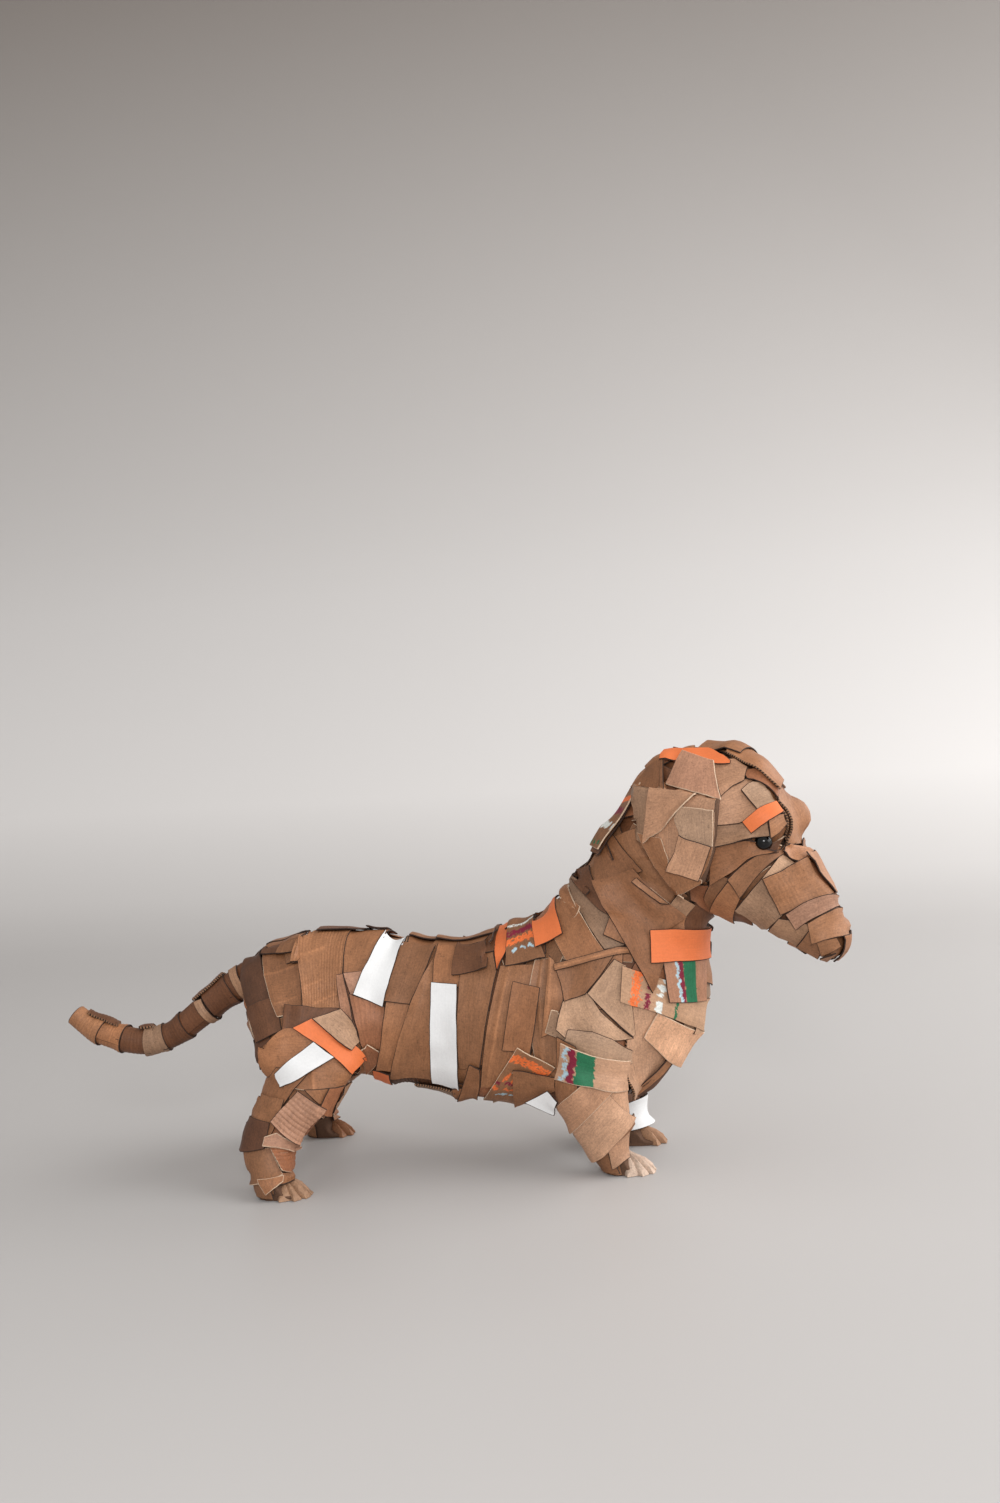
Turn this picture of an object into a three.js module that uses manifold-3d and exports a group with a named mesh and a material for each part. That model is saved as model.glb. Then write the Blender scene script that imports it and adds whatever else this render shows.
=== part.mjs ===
// A standing dachshund, life size for a small one, built of glued kraft cardboard.
//
// Its body is one closed form: a skin swept from the rump to the nose, four legs with toed paws, a
// tail and two brows, all joined. Two ear flaps, two eyes and the painted and printed strips are
// pieces of their own that lie on it. Lengths are in millimetres: +X runs to the nose, +Y to the
// dog's left and +Z up. The origin is on the floor, under the middle of the whole figure.
import * as THREE from "three";
import { mergeVertices } from "three/addons/utils/BufferGeometryUtils.js";
import Module from "manifold-3d";

const wasm = await Module();
wasm.setup();

// ---------------------------------------------------------------- driving sizes

const HEAD_TURN = 20; // degrees that the head is turned to the dog's right
const NECK_AXIS_X = 202; // the upright line that it turns about

const STRIP_THICKNESS = 1.4; // one sheet of fine-flute cardboard
const LEAST_GAP = 0.6; // between a laid strip and the skin
const GAP_STEP = 0.3; // what is added to that gap until the two are clear
const LEAST_FACING = 0.45; // below it a strip's lift over a slanting face grows no more

const EAR_THICKNESS = 3.5; // several sheets glued together

const EYE_RADIUS = 6;
const EYE = { x: 275, y: 29, z: 255 }; // in the unturned head
const SOCKET_GAP = 0.4; // all round each eye

const BROW = { x: 272, y: 21, z: 271 };
const BROW_SIZE = { x: 28, y: 18, z: 21 };

const FACETS = { trunk: 32, leg: 20, tail: 14, toe: 10 }; // sides of each kind of cross section
const BALL_FACETS = [14, 9]; // round and up an eye, a brow or a pad

// The skin from rump to nose. Each station is a cross section: its upper point (x, z), its lower
// point (x, z) and its half width. From the neck on, a share of the head's turn is given too.
const SPINE = [
  { up: [-169, 151], low: [-170, 131], half: 9 },
  { up: [-163, 171], low: [-167, 112], half: 28 },
  { up: [-148, 186], low: [-154, 97], half: 41 },
  { up: [-126, 193], low: [-127, 84], half: 49 },
  { up: [-93, 197], low: [-91, 77], half: 52 },
  { up: [-58, 192], low: [-58, 73], half: 50 },
  { up: [-23, 187], low: [-23, 64], half: 49 },
  { up: [17, 186], low: [17, 53], half: 52 },
  { up: [52, 190], low: [54, 43], half: 56 },
  { up: [82, 201], low: [92, 37], half: 59 },
  { up: [103, 215], low: [126, 43], half: 60 },
  { up: [115, 227], low: [160, 58], half: 58 },
  { up: [123, 238], low: [188, 78], half: 54 },
  { up: [128, 249], low: [207, 102], half: 50 },
  { up: [134, 259], low: [217, 130], half: 45, turn: 0.05 },
  { up: [141, 272], low: [216, 157], half: 41, turn: 0.15 },
  { up: [151, 288], low: [217, 182], half: 39, turn: 0.35 },
  { up: [165, 307], low: [221, 200], half: 40, turn: 0.65 },
  { up: [185, 325], low: [230, 200], half: 43, turn: 0.9 },
  { up: [212, 334], low: [241, 198], half: 44, turn: 1 },
  { up: [242, 330], low: [253, 194], half: 43, turn: 1 },
  { up: [267, 317], low: [263, 189], half: 39, turn: 1 },
  { up: [285, 296], low: [271, 184], half: 34, turn: 1 },
  { up: [292, 272], low: [277, 180], half: 31, turn: 1 },
  { up: [292, 252], low: [284, 174], half: 28, turn: 1 },
  { up: [304, 240], low: [292, 169], half: 25, turn: 1 },
  { up: [315, 224], low: [301, 164], half: 23, turn: 1 },
  { up: [324, 208], low: [309, 160], half: 21, turn: 1 },
  { up: [331, 193], low: [316, 158], half: 18, turn: 1 },
  { up: [334, 180], low: [323, 160], half: 14, turn: 1 },
  { up: [334, 174], low: [329, 166], half: 6, turn: 1 },
];

// The tail's middle line (x, z) and radius, from the rump to the blunt tip.
const TAIL = [
  { at: [-144, 168], radius: 13 },
  { at: [-168, 158], radius: 13 },
  { at: [-188, 146], radius: 12 },
  { at: [-208, 132], radius: 11 },
  { at: [-228, 118], radius: 10.5 },
  { at: [-245, 110], radius: 10 },
  { at: [-263, 107], radius: 10 },
  { at: [-283, 110], radius: 10 },
  { at: [-301, 116], radius: 9.5 },
  { at: [-313, 123], radius: 8.5 },
  { at: [-323, 131], radius: 7.5 },
];

// The legs, from inside the trunk to the ankle: back point (x, z), front point (x, z), how far the
// section's middle lies from the dog's mid-plane, and its half width.
const HIND_LEG = [
  { up: [-146, 176], low: [-88, 168], out: 22, half: 16 },
  { up: [-156, 148], low: [-67, 138], out: 34, half: 26 },
  { up: [-154, 126], low: [-62, 112], out: 42, half: 29 },
  { up: [-145, 106], low: [-63, 94], out: 48, half: 28 },
  { up: [-132, 90], low: [-70, 78], out: 53, half: 25 },
  { up: [-139, 72], low: [-80, 64], out: 60, half: 22 },
  { up: [-150, 57], low: [-94, 50], out: 67, half: 20 },
  { up: [-159, 43], low: [-106, 41], out: 72, half: 19 },
  { up: [-158, 32], low: [-113, 33], out: 76, half: 18 },
  { up: [-151, 18], low: [-113, 20], out: 80, half: 18 },
  { up: [-148, 7], low: [-112, 8], out: 83, half: 18 },
  { up: [-146, -3], low: [-113, -3], out: 84, half: 17 },
];
const FRONT_LEG = [
  { up: [102, 168], low: [150, 168], out: 26, half: 13 },
  { up: [95, 140], low: [158, 140], out: 37, half: 21 },
  { up: [93, 106], low: [157, 106], out: 42, half: 25 },
  { up: [92, 79], low: [153, 79], out: 44, half: 25 },
  { up: [92, 56], low: [148, 57], out: 43, half: 24 },
  { up: [99, 36], low: [149, 40], out: 41, half: 21 },
  { up: [110, 19], low: [150, 25], out: 38, half: 18 },
  { up: [120, 8], low: [149, 12], out: 36, half: 17 },
  { up: [125, -3], low: [148, -3], out: 36, half: 16 },
];

// How far each left paw is set from the mirror image of the right one. A leg has taken up its whole
// step at this share of its length.
const NO_STEP = { x: 0, y: 0 };
const LEFT_FRONT_STEP = { x: 6, y: 6 };
const LEFT_HIND_STEP = { x: -8, y: 0 };
const STEP_REACHED = 0.625;

const HIND_PAW = { heel: -136, tip: -102, out: 84, half: 18 };
const FRONT_PAW = { heel: 132, tip: 165, out: 36, half: 17 };
const PAD = { z: 5, height: 14, longer: 4 }; // under the ankle, and how far it reaches behind the toes

// A paw's toes: how far along from heel to tip, the height there, and the share of the toe's radius.
const TOES = 4;
const TOE_STATIONS = [
  { along: 0, z: 13, share: 1.2 },
  { along: 0.45, z: 10.5, share: 1.15 },
  { along: 0.8, z: 5.5, share: 1 },
  { along: 1, z: 2.5, share: 0.6 },
];
const TOE_RADIUS = 0.62; // as a share of the pitch, so that the toes run into each other
const TOE_SPREAD = 0.96; // how much of the pitch lies between two middle lines
const OUTER_TOE_BACK = 4; // the outer toes are shorter

// The ear's outline in the unturned head, anticlockwise from its upper back corner as (x, out, z),
// with out measured from the dog's mid-plane to the ear's inner face, and the middle of that face.
const EAR_OUTLINE = [
  [183, 33, 302],
  [180, 38, 284],
  [183, 43, 260],
  [197, 46, 238],
  [215, 44, 218],
  [235, 44, 228],
  [245, 46, 252],
  [248, 46, 272],
  [250, 43, 291],
  [217, 41, 297],
];
const EAR_MIDDLE = [216, 48, 262];
const EAR_BULGE = 2.5; // how far it rises between the middle and the rim

// The painted and printed strips. Each one's corners are given as it is seen from one direction:
// (x, z) from the right, (x, y) from the top and (y, z) from the front. Columns run along its first
// edge.
const STRIPS = [
  { name: "orange_thigh_band", finish: "ORANGE", from: "right", columns: 5, rows: 1,
    corners: [[-112, 127], [-69, 89], [-65, 99], [-99, 132]] },
  { name: "white_thigh_patch", finish: "WHITE", from: "right", columns: 4, rows: 1,
    corners: [[-118, 82], [-84, 101], [-97, 112], [-121, 95]] },
  { name: "white_loin_band", finish: "WHITE", from: "right", columns: 1, rows: 4,
    corners: [[-65, 149], [-42, 139], [-31, 184], [-46, 186]] },
  { name: "white_flank_band", finish: "WHITE", from: "right", columns: 1, rows: 6,
    corners: [[-9, 72], [13, 70], [18, 154], [-3, 156]] },
  { name: "orange_belly_strip", finish: "ORANGE", from: "right", columns: 2, rows: 1,
    corners: [[-59, 79], [-43, 79], [-42, 85], [-57, 88]] },
  { name: "orange_withers_strip", finish: "ORANGE", from: "right", columns: 1, rows: 2,
    corners: [[46, 173], [55, 174], [55, 184], [46, 184]] },
  { name: "printed_withers_strip", finish: "PRINTED", from: "right", columns: 3, rows: 2,
    corners: [[58, 167], [84, 171], [76, 190], [58, 184]] },
  { name: "orange_saddle_band", finish: "ORANGE", from: "right", columns: 2, rows: 3,
    corners: [[86, 179], [105, 188], [98, 205], [79, 195]] },
  { name: "printed_elbow_strip", finish: "PRINTED", from: "right", columns: 2, rows: 4,
    corners: [[38, 60], [54, 58], [88, 90], [65, 103]] },
  { name: "white_elbow_strip", finish: "WHITE", from: "right", columns: 2, rows: 1,
    corners: [[73, 50], [86, 50], [86, 60], [68, 55]] },
  { name: "printed_arm_band", finish: "PRINTED", from: "right", columns: 4, rows: 1,
    corners: [[99, 81], [147, 71], [149, 92], [100, 106]] },
  { name: "printed_chest_strip", finish: "PRINTED", from: "right", columns: 4, rows: 1,
    corners: [[150, 138], [200, 109], [206, 127], [152, 154]] },
  { name: "printed_neck_strip", finish: "PRINTED", from: "right", columns: 2, rows: 2,
    corners: [[183, 144], [209, 135], [208, 157], [182, 163]] },
  { name: "orange_collar_strip", finish: "ORANGE", from: "right", columns: 4, rows: 1,
    corners: [[171, 167], [210, 161], [210, 184], [172, 191]] },
  { name: "orange_brow_strip", finish: "ORANGE", from: "right", columns: 3, rows: 1,
    corners: [[248, 272], [254, 264], [272, 279], [267, 287]] },
  { name: "orange_crown_strip", finish: "ORANGE", from: "top", columns: 4, rows: 1,
    corners: [[190, -27], [232, -37], [236, -22], [191, -11]] },
  { name: "white_cuff", finish: "WHITE", from: "front", columns: 4, rows: 1,
    corners: [[28, 26], [56, 26], [60, 42], [30, 42]] },
];

// ---------------------------------------------------------------- colours

const FINISHES = {
  KRAFT: { color: 0x9b6f4e, roughness: 0.88, metalness: 0 },
  PRINTED: { color: 0xb58e6e, roughness: 0.8, metalness: 0 },
  ORANGE: { color: 0xf07a45, roughness: 0.6, metalness: 0 },
  WHITE: { color: 0xe4e2df, roughness: 0.65, metalness: 0 },
  EYE_BLACK: { color: 0x0b0b0c, roughness: 0.08, metalness: 0 },
};

// ---------------------------------------------------------------- making solids

// A point in the head's own plane, turned about the neck's axis by a share of the head's turn.
function turned(point, share = 1) {
  const angle = THREE.MathUtils.degToRad(-HEAD_TURN * share);
  const x = point.x - NECK_AXIS_X;
  return new THREE.Vector3(
    NECK_AXIS_X + x * Math.cos(angle) - point.y * Math.sin(angle),
    x * Math.sin(angle) + point.y * Math.cos(angle),
    point.z,
  );
}

// A closed skin through cross sections. Each is an ellipse that spans its upper and lower points,
// with its half width across.
function sweptSkin(stations, sides) {
  const rings = stations.length - 1;
  const positions = [];
  const indices = [];
  for (const { up, low, half, out = 0, turn = 0 } of stations) {
    const upper = new THREE.Vector3(up[0], 0, up[1]);
    const lower = new THREE.Vector3(low[0], 0, low[1]);
    for (let side = 0; side < sides; side++) {
      const angle = (2 * Math.PI * side) / sides;
      const point = lower.clone().lerp(upper, (1 + Math.cos(angle)) / 2);
      point.y = out + half * Math.sin(angle);
      positions.push(...turned(point, turn));
    }
  }
  for (let ring = 0; ring < rings; ring++)
    for (let side = 0; side < sides; side++) {
      const next = (side + 1) % sides;
      const [p, q] = [ring * sides, (ring + 1) * sides];
      indices.push(p + side, p + next, q + next, p + side, q + next, q + side);
    }
  for (let side = 1; side < sides - 1; side++) {
    const last = rings * sides;
    indices.push(0, side + 1, side, last, last + side, last + side + 1);
  }
  return closedSolid(new Float32Array(positions), new Uint32Array(indices));
}

// A closed skin of round sections along a line in an upright plane, with each one's radius.
function roundSkin(points, out, sides) {
  const stations = points.map(({ at: [x, z], radius }, index) => {
    const before = points[Math.max(index - 1, 0)].at;
    const after = points[Math.min(index + 1, points.length - 1)].at;
    const run = new THREE.Vector2(after[0] - before[0], after[1] - before[1]).normalize();
    return {
      up: [x - run.y * radius, z + run.x * radius],
      low: [x + run.y * radius, z - run.x * radius],
      half: radius,
      out,
    };
  });
  return sweptSkin(stations, sides);
}

// Vertices and triangles as a manifold solid, turned to face out.
function closedSolid(vertProperties, triVerts) {
  const made = new wasm.Manifold(new wasm.Mesh({ numProp: 3, vertProperties, triVerts }));
  if (made.volume() > 0) return made;
  const flipped = triVerts.slice().reverse();
  return new wasm.Manifold(new wasm.Mesh({ numProp: 3, vertProperties, triVerts: flipped }));
}

// A three.js geometry as a manifold solid.
function solidOf(geometry) {
  const bare = geometry.clone().deleteAttribute("normal").deleteAttribute("uv");
  const merged = mergeVertices(bare, 1e-3);
  return closedSolid(merged.attributes.position.array, new Uint32Array(merged.index.array));
}

// A manifold solid as a three.js geometry.
function geometryOf(solid) {
  const { vertProperties, triVerts } = solid.getMesh();
  const geometry = new THREE.BufferGeometry();
  geometry.setAttribute("position", new THREE.BufferAttribute(vertProperties, 3));
  geometry.setIndex(new THREE.BufferAttribute(triVerts, 1));
  geometry.computeVertexNormals();
  return geometry;
}

// A closed ellipsoid, turned with the head or, with a share of 0, not at all.
function ellipsoid(centre, size, share = 1) {
  const middle = turned(centre, share);
  const geometry = new THREE.SphereGeometry(1, ...BALL_FACETS).scale(size.x, size.y, size.z);
  geometry.rotateZ(THREE.MathUtils.degToRad(-HEAD_TURN * share));
  return solidOf(geometry.translate(middle.x, middle.y, middle.z));
}

// ---------------------------------------------------------------- the body

// One leg on the dog's right (side -1) or left (side 1), with its lower end moved by a step.
function leg(stations, side, step) {
  const placed = stations.map((station, index) => {
    const share = Math.min(1, index / (stations.length - 1) / STEP_REACHED);
    return {
      up: [station.up[0] + step.x * share, station.up[1]],
      low: [station.low[0] + step.x * share, station.low[1]],
      out: side * (station.out + step.y * share),
      half: station.half,
    };
  });
  return sweptSkin(placed, FACETS.leg);
}

// One paw: a low round pad under the ankle, and toes side by side that taper to the floor.
function pawPieces(paw, side, step) {
  const heel = paw.heel + step.x;
  const out = paw.out + step.y;
  const length = paw.tip - paw.heel;
  const pitch = (2 * paw.half) / TOES;
  const pad = ellipsoid(
    { x: heel + length / 2 - PAD.longer, y: side * out, z: PAD.z },
    { x: length / 2 + PAD.longer, y: paw.half, z: PAD.height },
    0,
  );
  const toes = Array.from({ length: TOES }, (_, index) => {
    const offset = (index - (TOES - 1) / 2) * pitch;
    const reach = length - (Math.abs(offset) > pitch ? OUTER_TOE_BACK : 0);
    const points = TOE_STATIONS.map(({ along, z, share }) => ({
      at: [heel + reach * along, z],
      radius: pitch * TOE_RADIUS * share,
    }));
    return roundSkin(points, side * (out + offset * TOE_SPREAD), FACETS.toe);
  });
  return [pad, ...toes];
}

// A block that fills the space under the floor.
function underFloor() {
  const [length, width, depth] = [800, 400, 40];
  return solidOf(new THREE.BoxGeometry(length, width, depth).translate(0, 0, -depth / 2));
}

function bodySolid() {
  const pieces = [
    sweptSkin(SPINE, FACETS.trunk),
    roundSkin(TAIL, 0, FACETS.tail),
    leg(HIND_LEG, -1, NO_STEP),
    leg(HIND_LEG, 1, LEFT_HIND_STEP),
    leg(FRONT_LEG, -1, NO_STEP),
    leg(FRONT_LEG, 1, LEFT_FRONT_STEP),
    ...pawPieces(HIND_PAW, -1, NO_STEP),
    ...pawPieces(HIND_PAW, 1, LEFT_HIND_STEP),
    ...pawPieces(FRONT_PAW, -1, NO_STEP),
    ...pawPieces(FRONT_PAW, 1, LEFT_FRONT_STEP),
    ...[-1, 1].map((side) => ellipsoid({ ...BROW, y: side * BROW.y }, BROW_SIZE)),
  ];
  let body = pieces.reduce((whole, piece) => whole.add(piece));
  for (const side of [-1, 1]) body = body.subtract(eyeball(side, EYE_RADIUS + SOCKET_GAP));
  return body.subtract(underFloor());
}

function eyeball(side, radius) {
  return ellipsoid({ ...EYE, y: side * EYE.y }, { x: radius, y: radius, z: radius });
}

// ---------------------------------------------------------------- sheets laid on the body

const body = bodySolid();
const bodyTarget = new THREE.Mesh(geometryOf(body), new THREE.MeshBasicMaterial());
const caster = new THREE.Raycaster();

// Where a ray from outside first meets the body, and how squarely.
function surfaceAt(origin, inward) {
  caster.set(origin, inward);
  const hit = caster.intersectObject(bodyTarget)[0];
  if (!hit) return null;
  return { point: hit.point, facing: Math.max(LEAST_FACING, -hit.face.normal.dot(inward)) };
}

// The directions that strips are given from: which way that looks, and the ray's start, well outside.
const OUTSIDE = 500;
const DIRECTIONS = {
  right: { inward: new THREE.Vector3(0, 1, 0), at: (u, v) => new THREE.Vector3(u, -OUTSIDE, v) },
  top: { inward: new THREE.Vector3(0, 0, -1), at: (u, v) => new THREE.Vector3(u, v, OUTSIDE) },
  front: { inward: new THREE.Vector3(-1, 0, 0), at: (u, v) => new THREE.Vector3(OUTSIDE, u, v) },
};

// A thin closed sheet whose outline is a quadrilateral seen from one direction. It follows the body
// at a gap.
function sheetAt({ from, corners, columns, rows }, gap) {
  const { inward, at } = DIRECTIONS[from];
  const [first, second, third, fourth] = corners.map(([u, v]) => new THREE.Vector2(u, v));
  const inner = [];
  const outer = [];
  for (let row = 0; row <= rows; row++)
    for (let column = 0; column <= columns; column++) {
      const near = first.clone().lerp(second, column / columns);
      const far = fourth.clone().lerp(third, column / columns);
      const spot = near.lerp(far, row / rows);
      const hit = surfaceAt(at(spot.x, spot.y), inward);
      if (!hit) throw new Error(`a sheet from the ${from} misses the body at ${spot.x}, ${spot.y}`);
      const lift = gap / hit.facing;
      inner.push(hit.point.clone().addScaledVector(inward, -lift));
      outer.push(hit.point.clone().addScaledVector(inward, -lift - STRIP_THICKNESS / hit.facing));
    }
  return sheetSolid(inner, outer, columns, rows);
}

// A strip at the least gap that clears the body.
function laidStrip(strip) {
  let gap = LEAST_GAP;
  while (sheetAt(strip, gap).intersect(body).volume() > 0) gap += GAP_STEP;
  return sheetAt(strip, gap + GAP_STEP);
}

// Two matching grids of points joined into one closed sheet.
function sheetSolid(inner, outer, columns, rows) {
  const points = [...inner, ...outer].flatMap((p) => [p.x, p.y, p.z]);
  const width = columns + 1;
  const half = inner.length;
  const indices = [];
  const quad = (a, b, c, d) => indices.push(a, b, c, a, c, d);
  for (let row = 0; row < rows; row++)
    for (let column = 0; column < columns; column++) {
      const p = row * width + column;
      quad(p, p + 1, p + width + 1, p + width);
      quad(half + p, half + p + width, half + p + width + 1, half + p + 1);
    }
  const rim = [];
  for (let column = 0; column < columns; column++) rim.push(column);
  for (let row = 0; row < rows; row++) rim.push(row * width + columns);
  for (let column = columns; column > 0; column--) rim.push(rows * width + column);
  for (let row = rows; row > 0; row--) rim.push(row * width);
  rim.forEach((p, index) => {
    const next = rim[(index + 1) % rim.length];
    quad(p, half + p, half + next, next);
  });
  return closedSolid(new Float32Array(points), new Uint32Array(indices));
}

// The ear on one side: a flap whose inner and outer faces are fans from a middle point to the outline.
function earSolid(side) {
  const [middleX, middleOut, middleZ] = EAR_MIDDLE;
  const halfway = ([x, out, z]) => [
    (x + middleX) / 2,
    (out + middleOut) / 2 + EAR_BULGE,
    (z + middleZ) / 2,
  ];
  const points = [EAR_MIDDLE, ...EAR_OUTLINE.map(halfway), ...EAR_OUTLINE];
  const face = (extra) =>
    points.map(([x, out, z]) => turned(new THREE.Vector3(x, side * (out + extra), z)));
  return fanSolid(face(0), face(EAR_THICKNESS), EAR_OUTLINE.length, 2);
}

// Two matching fans of points, each a middle point and rings around it, joined into one closed sheet.
function fanSolid(inner, outer, spokes, rings) {
  const points = [...inner, ...outer].flatMap((p) => [p.x, p.y, p.z]);
  const half = inner.length;
  const indices = [];
  const triangle = (a, b, c) => indices.push(a, b, c);
  const quad = (a, b, c, d) => indices.push(a, b, c, a, c, d);
  for (let spoke = 0; spoke < spokes; spoke++) {
    const next = (spoke + 1) % spokes;
    triangle(0, 1 + spoke, 1 + next);
    triangle(half, half + 1 + next, half + 1 + spoke);
    for (let ring = 1; ring < rings; ring++) {
      const [p, q] = [1 + (ring - 1) * spokes, 1 + ring * spokes];
      quad(p + spoke, q + spoke, q + next, p + next);
      quad(half + p + spoke, half + p + next, half + q + next, half + q + spoke);
    }
    const rim = 1 + (rings - 1) * spokes;
    quad(rim + spoke, half + rim + spoke, half + rim + next, rim + next);
  }
  return closedSolid(new Float32Array(points), new Uint32Array(indices));
}

// ---------------------------------------------------------------- the figure

const dog = new THREE.Group();

function place(name, solid, finish) {
  const material = new THREE.MeshStandardMaterial(FINISHES[finish]);
  const mesh = new THREE.Mesh(geometryOf(solid), material);
  mesh.name = name;
  dog.add(mesh);
}

place("dog_body", body, "KRAFT");
place("right_ear", earSolid(-1), "KRAFT");
place("left_ear", earSolid(1), "KRAFT");
place("right_eye", eyeball(-1, EYE_RADIUS), "EYE_BLACK");
place("left_eye", eyeball(1, EYE_RADIUS), "EYE_BLACK");
for (const strip of STRIPS) place(strip.name, laidStrip(strip), strip.finish);

const box = new THREE.Box3().setFromObject(dog);
const middle = box.getCenter(new THREE.Vector3());
dog.position.set(-middle.x, -middle.y, -box.min.z);

export default dog;
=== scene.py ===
"""A standing dachshund, built of strips of used kraft cardboard glued over one another.

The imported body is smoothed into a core. Sheets of cardboard are then laid on it one after another, as
the maker glued them: each one is a grid that is cast onto the core, rests on the sheets below it and
bridges the steps between them. Flutes, creases and lifted corners are shaped in the sheets. Lists of
sheets are in millimetres, in the part's own frame; the meshes are in metres.
"""

import math
import random

import bpy
from mathutils import Matrix, Vector, noise
from mathutils.bvhtree import BVHTree


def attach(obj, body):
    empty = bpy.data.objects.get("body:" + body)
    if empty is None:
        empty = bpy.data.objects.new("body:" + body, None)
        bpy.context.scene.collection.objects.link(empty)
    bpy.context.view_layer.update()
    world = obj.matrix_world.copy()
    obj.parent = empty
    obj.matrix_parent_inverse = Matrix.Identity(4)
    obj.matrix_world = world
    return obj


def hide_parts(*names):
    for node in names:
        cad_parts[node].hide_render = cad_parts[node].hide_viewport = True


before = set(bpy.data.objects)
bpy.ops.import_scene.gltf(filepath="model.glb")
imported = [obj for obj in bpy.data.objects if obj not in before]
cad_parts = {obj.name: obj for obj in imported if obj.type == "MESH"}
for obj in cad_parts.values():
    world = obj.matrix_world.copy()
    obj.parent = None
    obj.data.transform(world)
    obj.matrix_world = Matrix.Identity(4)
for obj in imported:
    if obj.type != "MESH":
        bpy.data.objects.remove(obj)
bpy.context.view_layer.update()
MM = 0.001

random.seed(7)
noise.seed_set(7)  # for the noise vectors, which the clock would seed otherwise

# ---------------------------------------------------------------- sizes

# A length with MM is in metres and one without it is in millimetres.
HEAD_TURN = math.radians(-20)  # the head's turn about the neck's upright line
NECK_LINE_X = 202
FRAME_SHIFT_X = -0.113  # from the drawing's origin to the middle of the whole figure

CORE_VOXEL = 3 * MM
CORE_INSET = 4.6 * MM  # so that the laid sheets come out at the body's true outline
CORE_SMOOTHING = 9
BACKWARD = -0.15  # a face whose normal has less x than this looks back
NAPE_SLIMMING = 3 * MM  # the nape carries more layers than the rest
NAPE_BACK, NAPE_FRONT = 90, 190
NAPE_LOW, NAPE_HIGH = 226, 322
NAPE_FADE = 18  # over this height it is let in less and less
# Other places along the outline (x, z, radius, how much deeper) that carry more layers.
SLIMMED = [
    (160, 80, 45, 4),
    (98, 66, 30, 3.5),
    (-35, 72, 60, 4.5),
    (-70, 95, 36, 3),
    (-76, 70, 18, 4),
    (-105, 197, 60, 3.5),
    (274, 288, 30, 3),
    (314, 188, 30, 3),
]
SOLE = 20  # below this height the core is let back down to the floor

SHEET = 1.25 * MM  # thickness of one sheet
THICK = 1.9 * MM  # thickness where the flutes show at the edge
CHAMFER = 0.5 * MM  # where the shears pressed its edge down
GLUE = 0.12 * MM  # between a sheet and what it rests on
FLUTE = 2.2 * MM  # from one flute to the next at a thick edge
CELL = 3.2 * MM  # grid of a sheet while it is laid
FINE_CELL = 0.8  # grid of the mesh of a sheet with daubs
FLUTE_CELL = 0.85  # the same across flutes
CREASE_CELL = 1.6  # the same with creases
REACH = 12 * MM  # how far above the core other sheets are felt
BRIDGE = 7  # how many times a sheet is pulled taut over the steps below it
FACING = 0.2  # a face that looks less than this towards a sheet isn't rested on
FLUTE_PITCH, FLUTE_DEPTH = 3.4, 0.24  # the pitch and height of flutes that show through
RUB = 0.45  # how much paler a fold or a flute is rubbed
CORNER_LIFT, CORNER_CURL = 1.2, 11  # the most that a corner comes loose, and how far in
EDGE_CURL = 9  # how far in a lifted edge comes loose
WAVES, RAGS = 0.25, 0.22  # how uneven a sheet's face and its cut edge are
WAVE_SCALE, RAG_SCALE = 45, 120  # how closely these follow one another
CREASE_WIDTH, CREASE_RUB = 3, 1.3  # half the width of a fold, and of the pale line on it
FLOOR_GAP = 0.6 * MM  # the lowest that a sheet's under face comes to the floor
RAY_START = 500  # how far out a ray of a view starts

EYE = (279.0, 33.2, 256.4)  # in the unturned head
EYE_RADIUS = 6.8
EYE_CLEAR = 13 * MM  # no small sheet is laid this near to an eye

# The paws: ankle x and y, and side.
PAWS = {
    "right_hind": (-125, 82, -1),
    "left_hind": (-133, 82, 1),
    "right_front": (141, 34, -1),
    "left_front": (147, 40, 1),
}
TOE_BED, TOE_BED_TOP = 40, 30  # how far ahead of the ankle, and how high, toes cover the core
TOE_BED_DEPTH = 0.6  # how much lower the core is pressed there, as a share of its height
TOE_BED_FADE = (6, 10)  # over these lengths forward and downward it comes to that

TAIL_ROOT = -166 * MM
SHANK_TOP = 62 * MM
LEG_TOP = 76
HIND_LEG_X, FRONT_LEG_X = -84, 88  # the hind leg lies behind the one, the front leg ahead of the other
LEG_RADIUS = 17
LEG_REACH = 34  # a ray that runs further than this from a leg's middle has met something else
LEG_NEAR = 18  # there the nearest spot is taken this far out

# ---------------------------------------------------------------- colours


def linear(red, green, blue):
    """A screen colour, 0 to 255, as the linear values that a shader takes."""

    def one(value):
        value /= 255
        return value / 12.92 if value <= 0.04045 else ((value + 0.055) / 1.055) ** 2.4

    return (one(red), one(green), one(blue), 1.0)


TONES = {
    "dark": linear(108, 68, 43),
    "deep": linear(92, 58, 38),
    "mid": linear(140, 95, 64),
    "tan": linear(154, 105, 71),
    "fawn": linear(178, 134, 104),
    "pale": linear(178, 142, 114),
    "grey": linear(155, 119, 92),
    "rust": linear(149, 96, 65),
    # The next tone is fawn made lighter, for chest and front-leg sheets that stand in more light: painted
    # light.
    "buff": linear(198, 154, 123),
    "ash": linear(200, 174, 154),
    "pink": linear(172, 125, 98),
    "orange": linear(226, 119, 66),
    "white": linear(226, 226, 226),
}
KRAFT_TONES = ("dark", "mid", "mid", "tan", "tan", "grey", "rust")
PAINTS = {
    "orange": linear(236, 116, 58),
    "crimson": linear(128, 24, 52),
    "green": linear(32, 108, 72),
    "white": linear(222, 224, 218),
    "blue": linear(178, 204, 214),
}

# ---------------------------------------------------------------- small helpers


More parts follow.
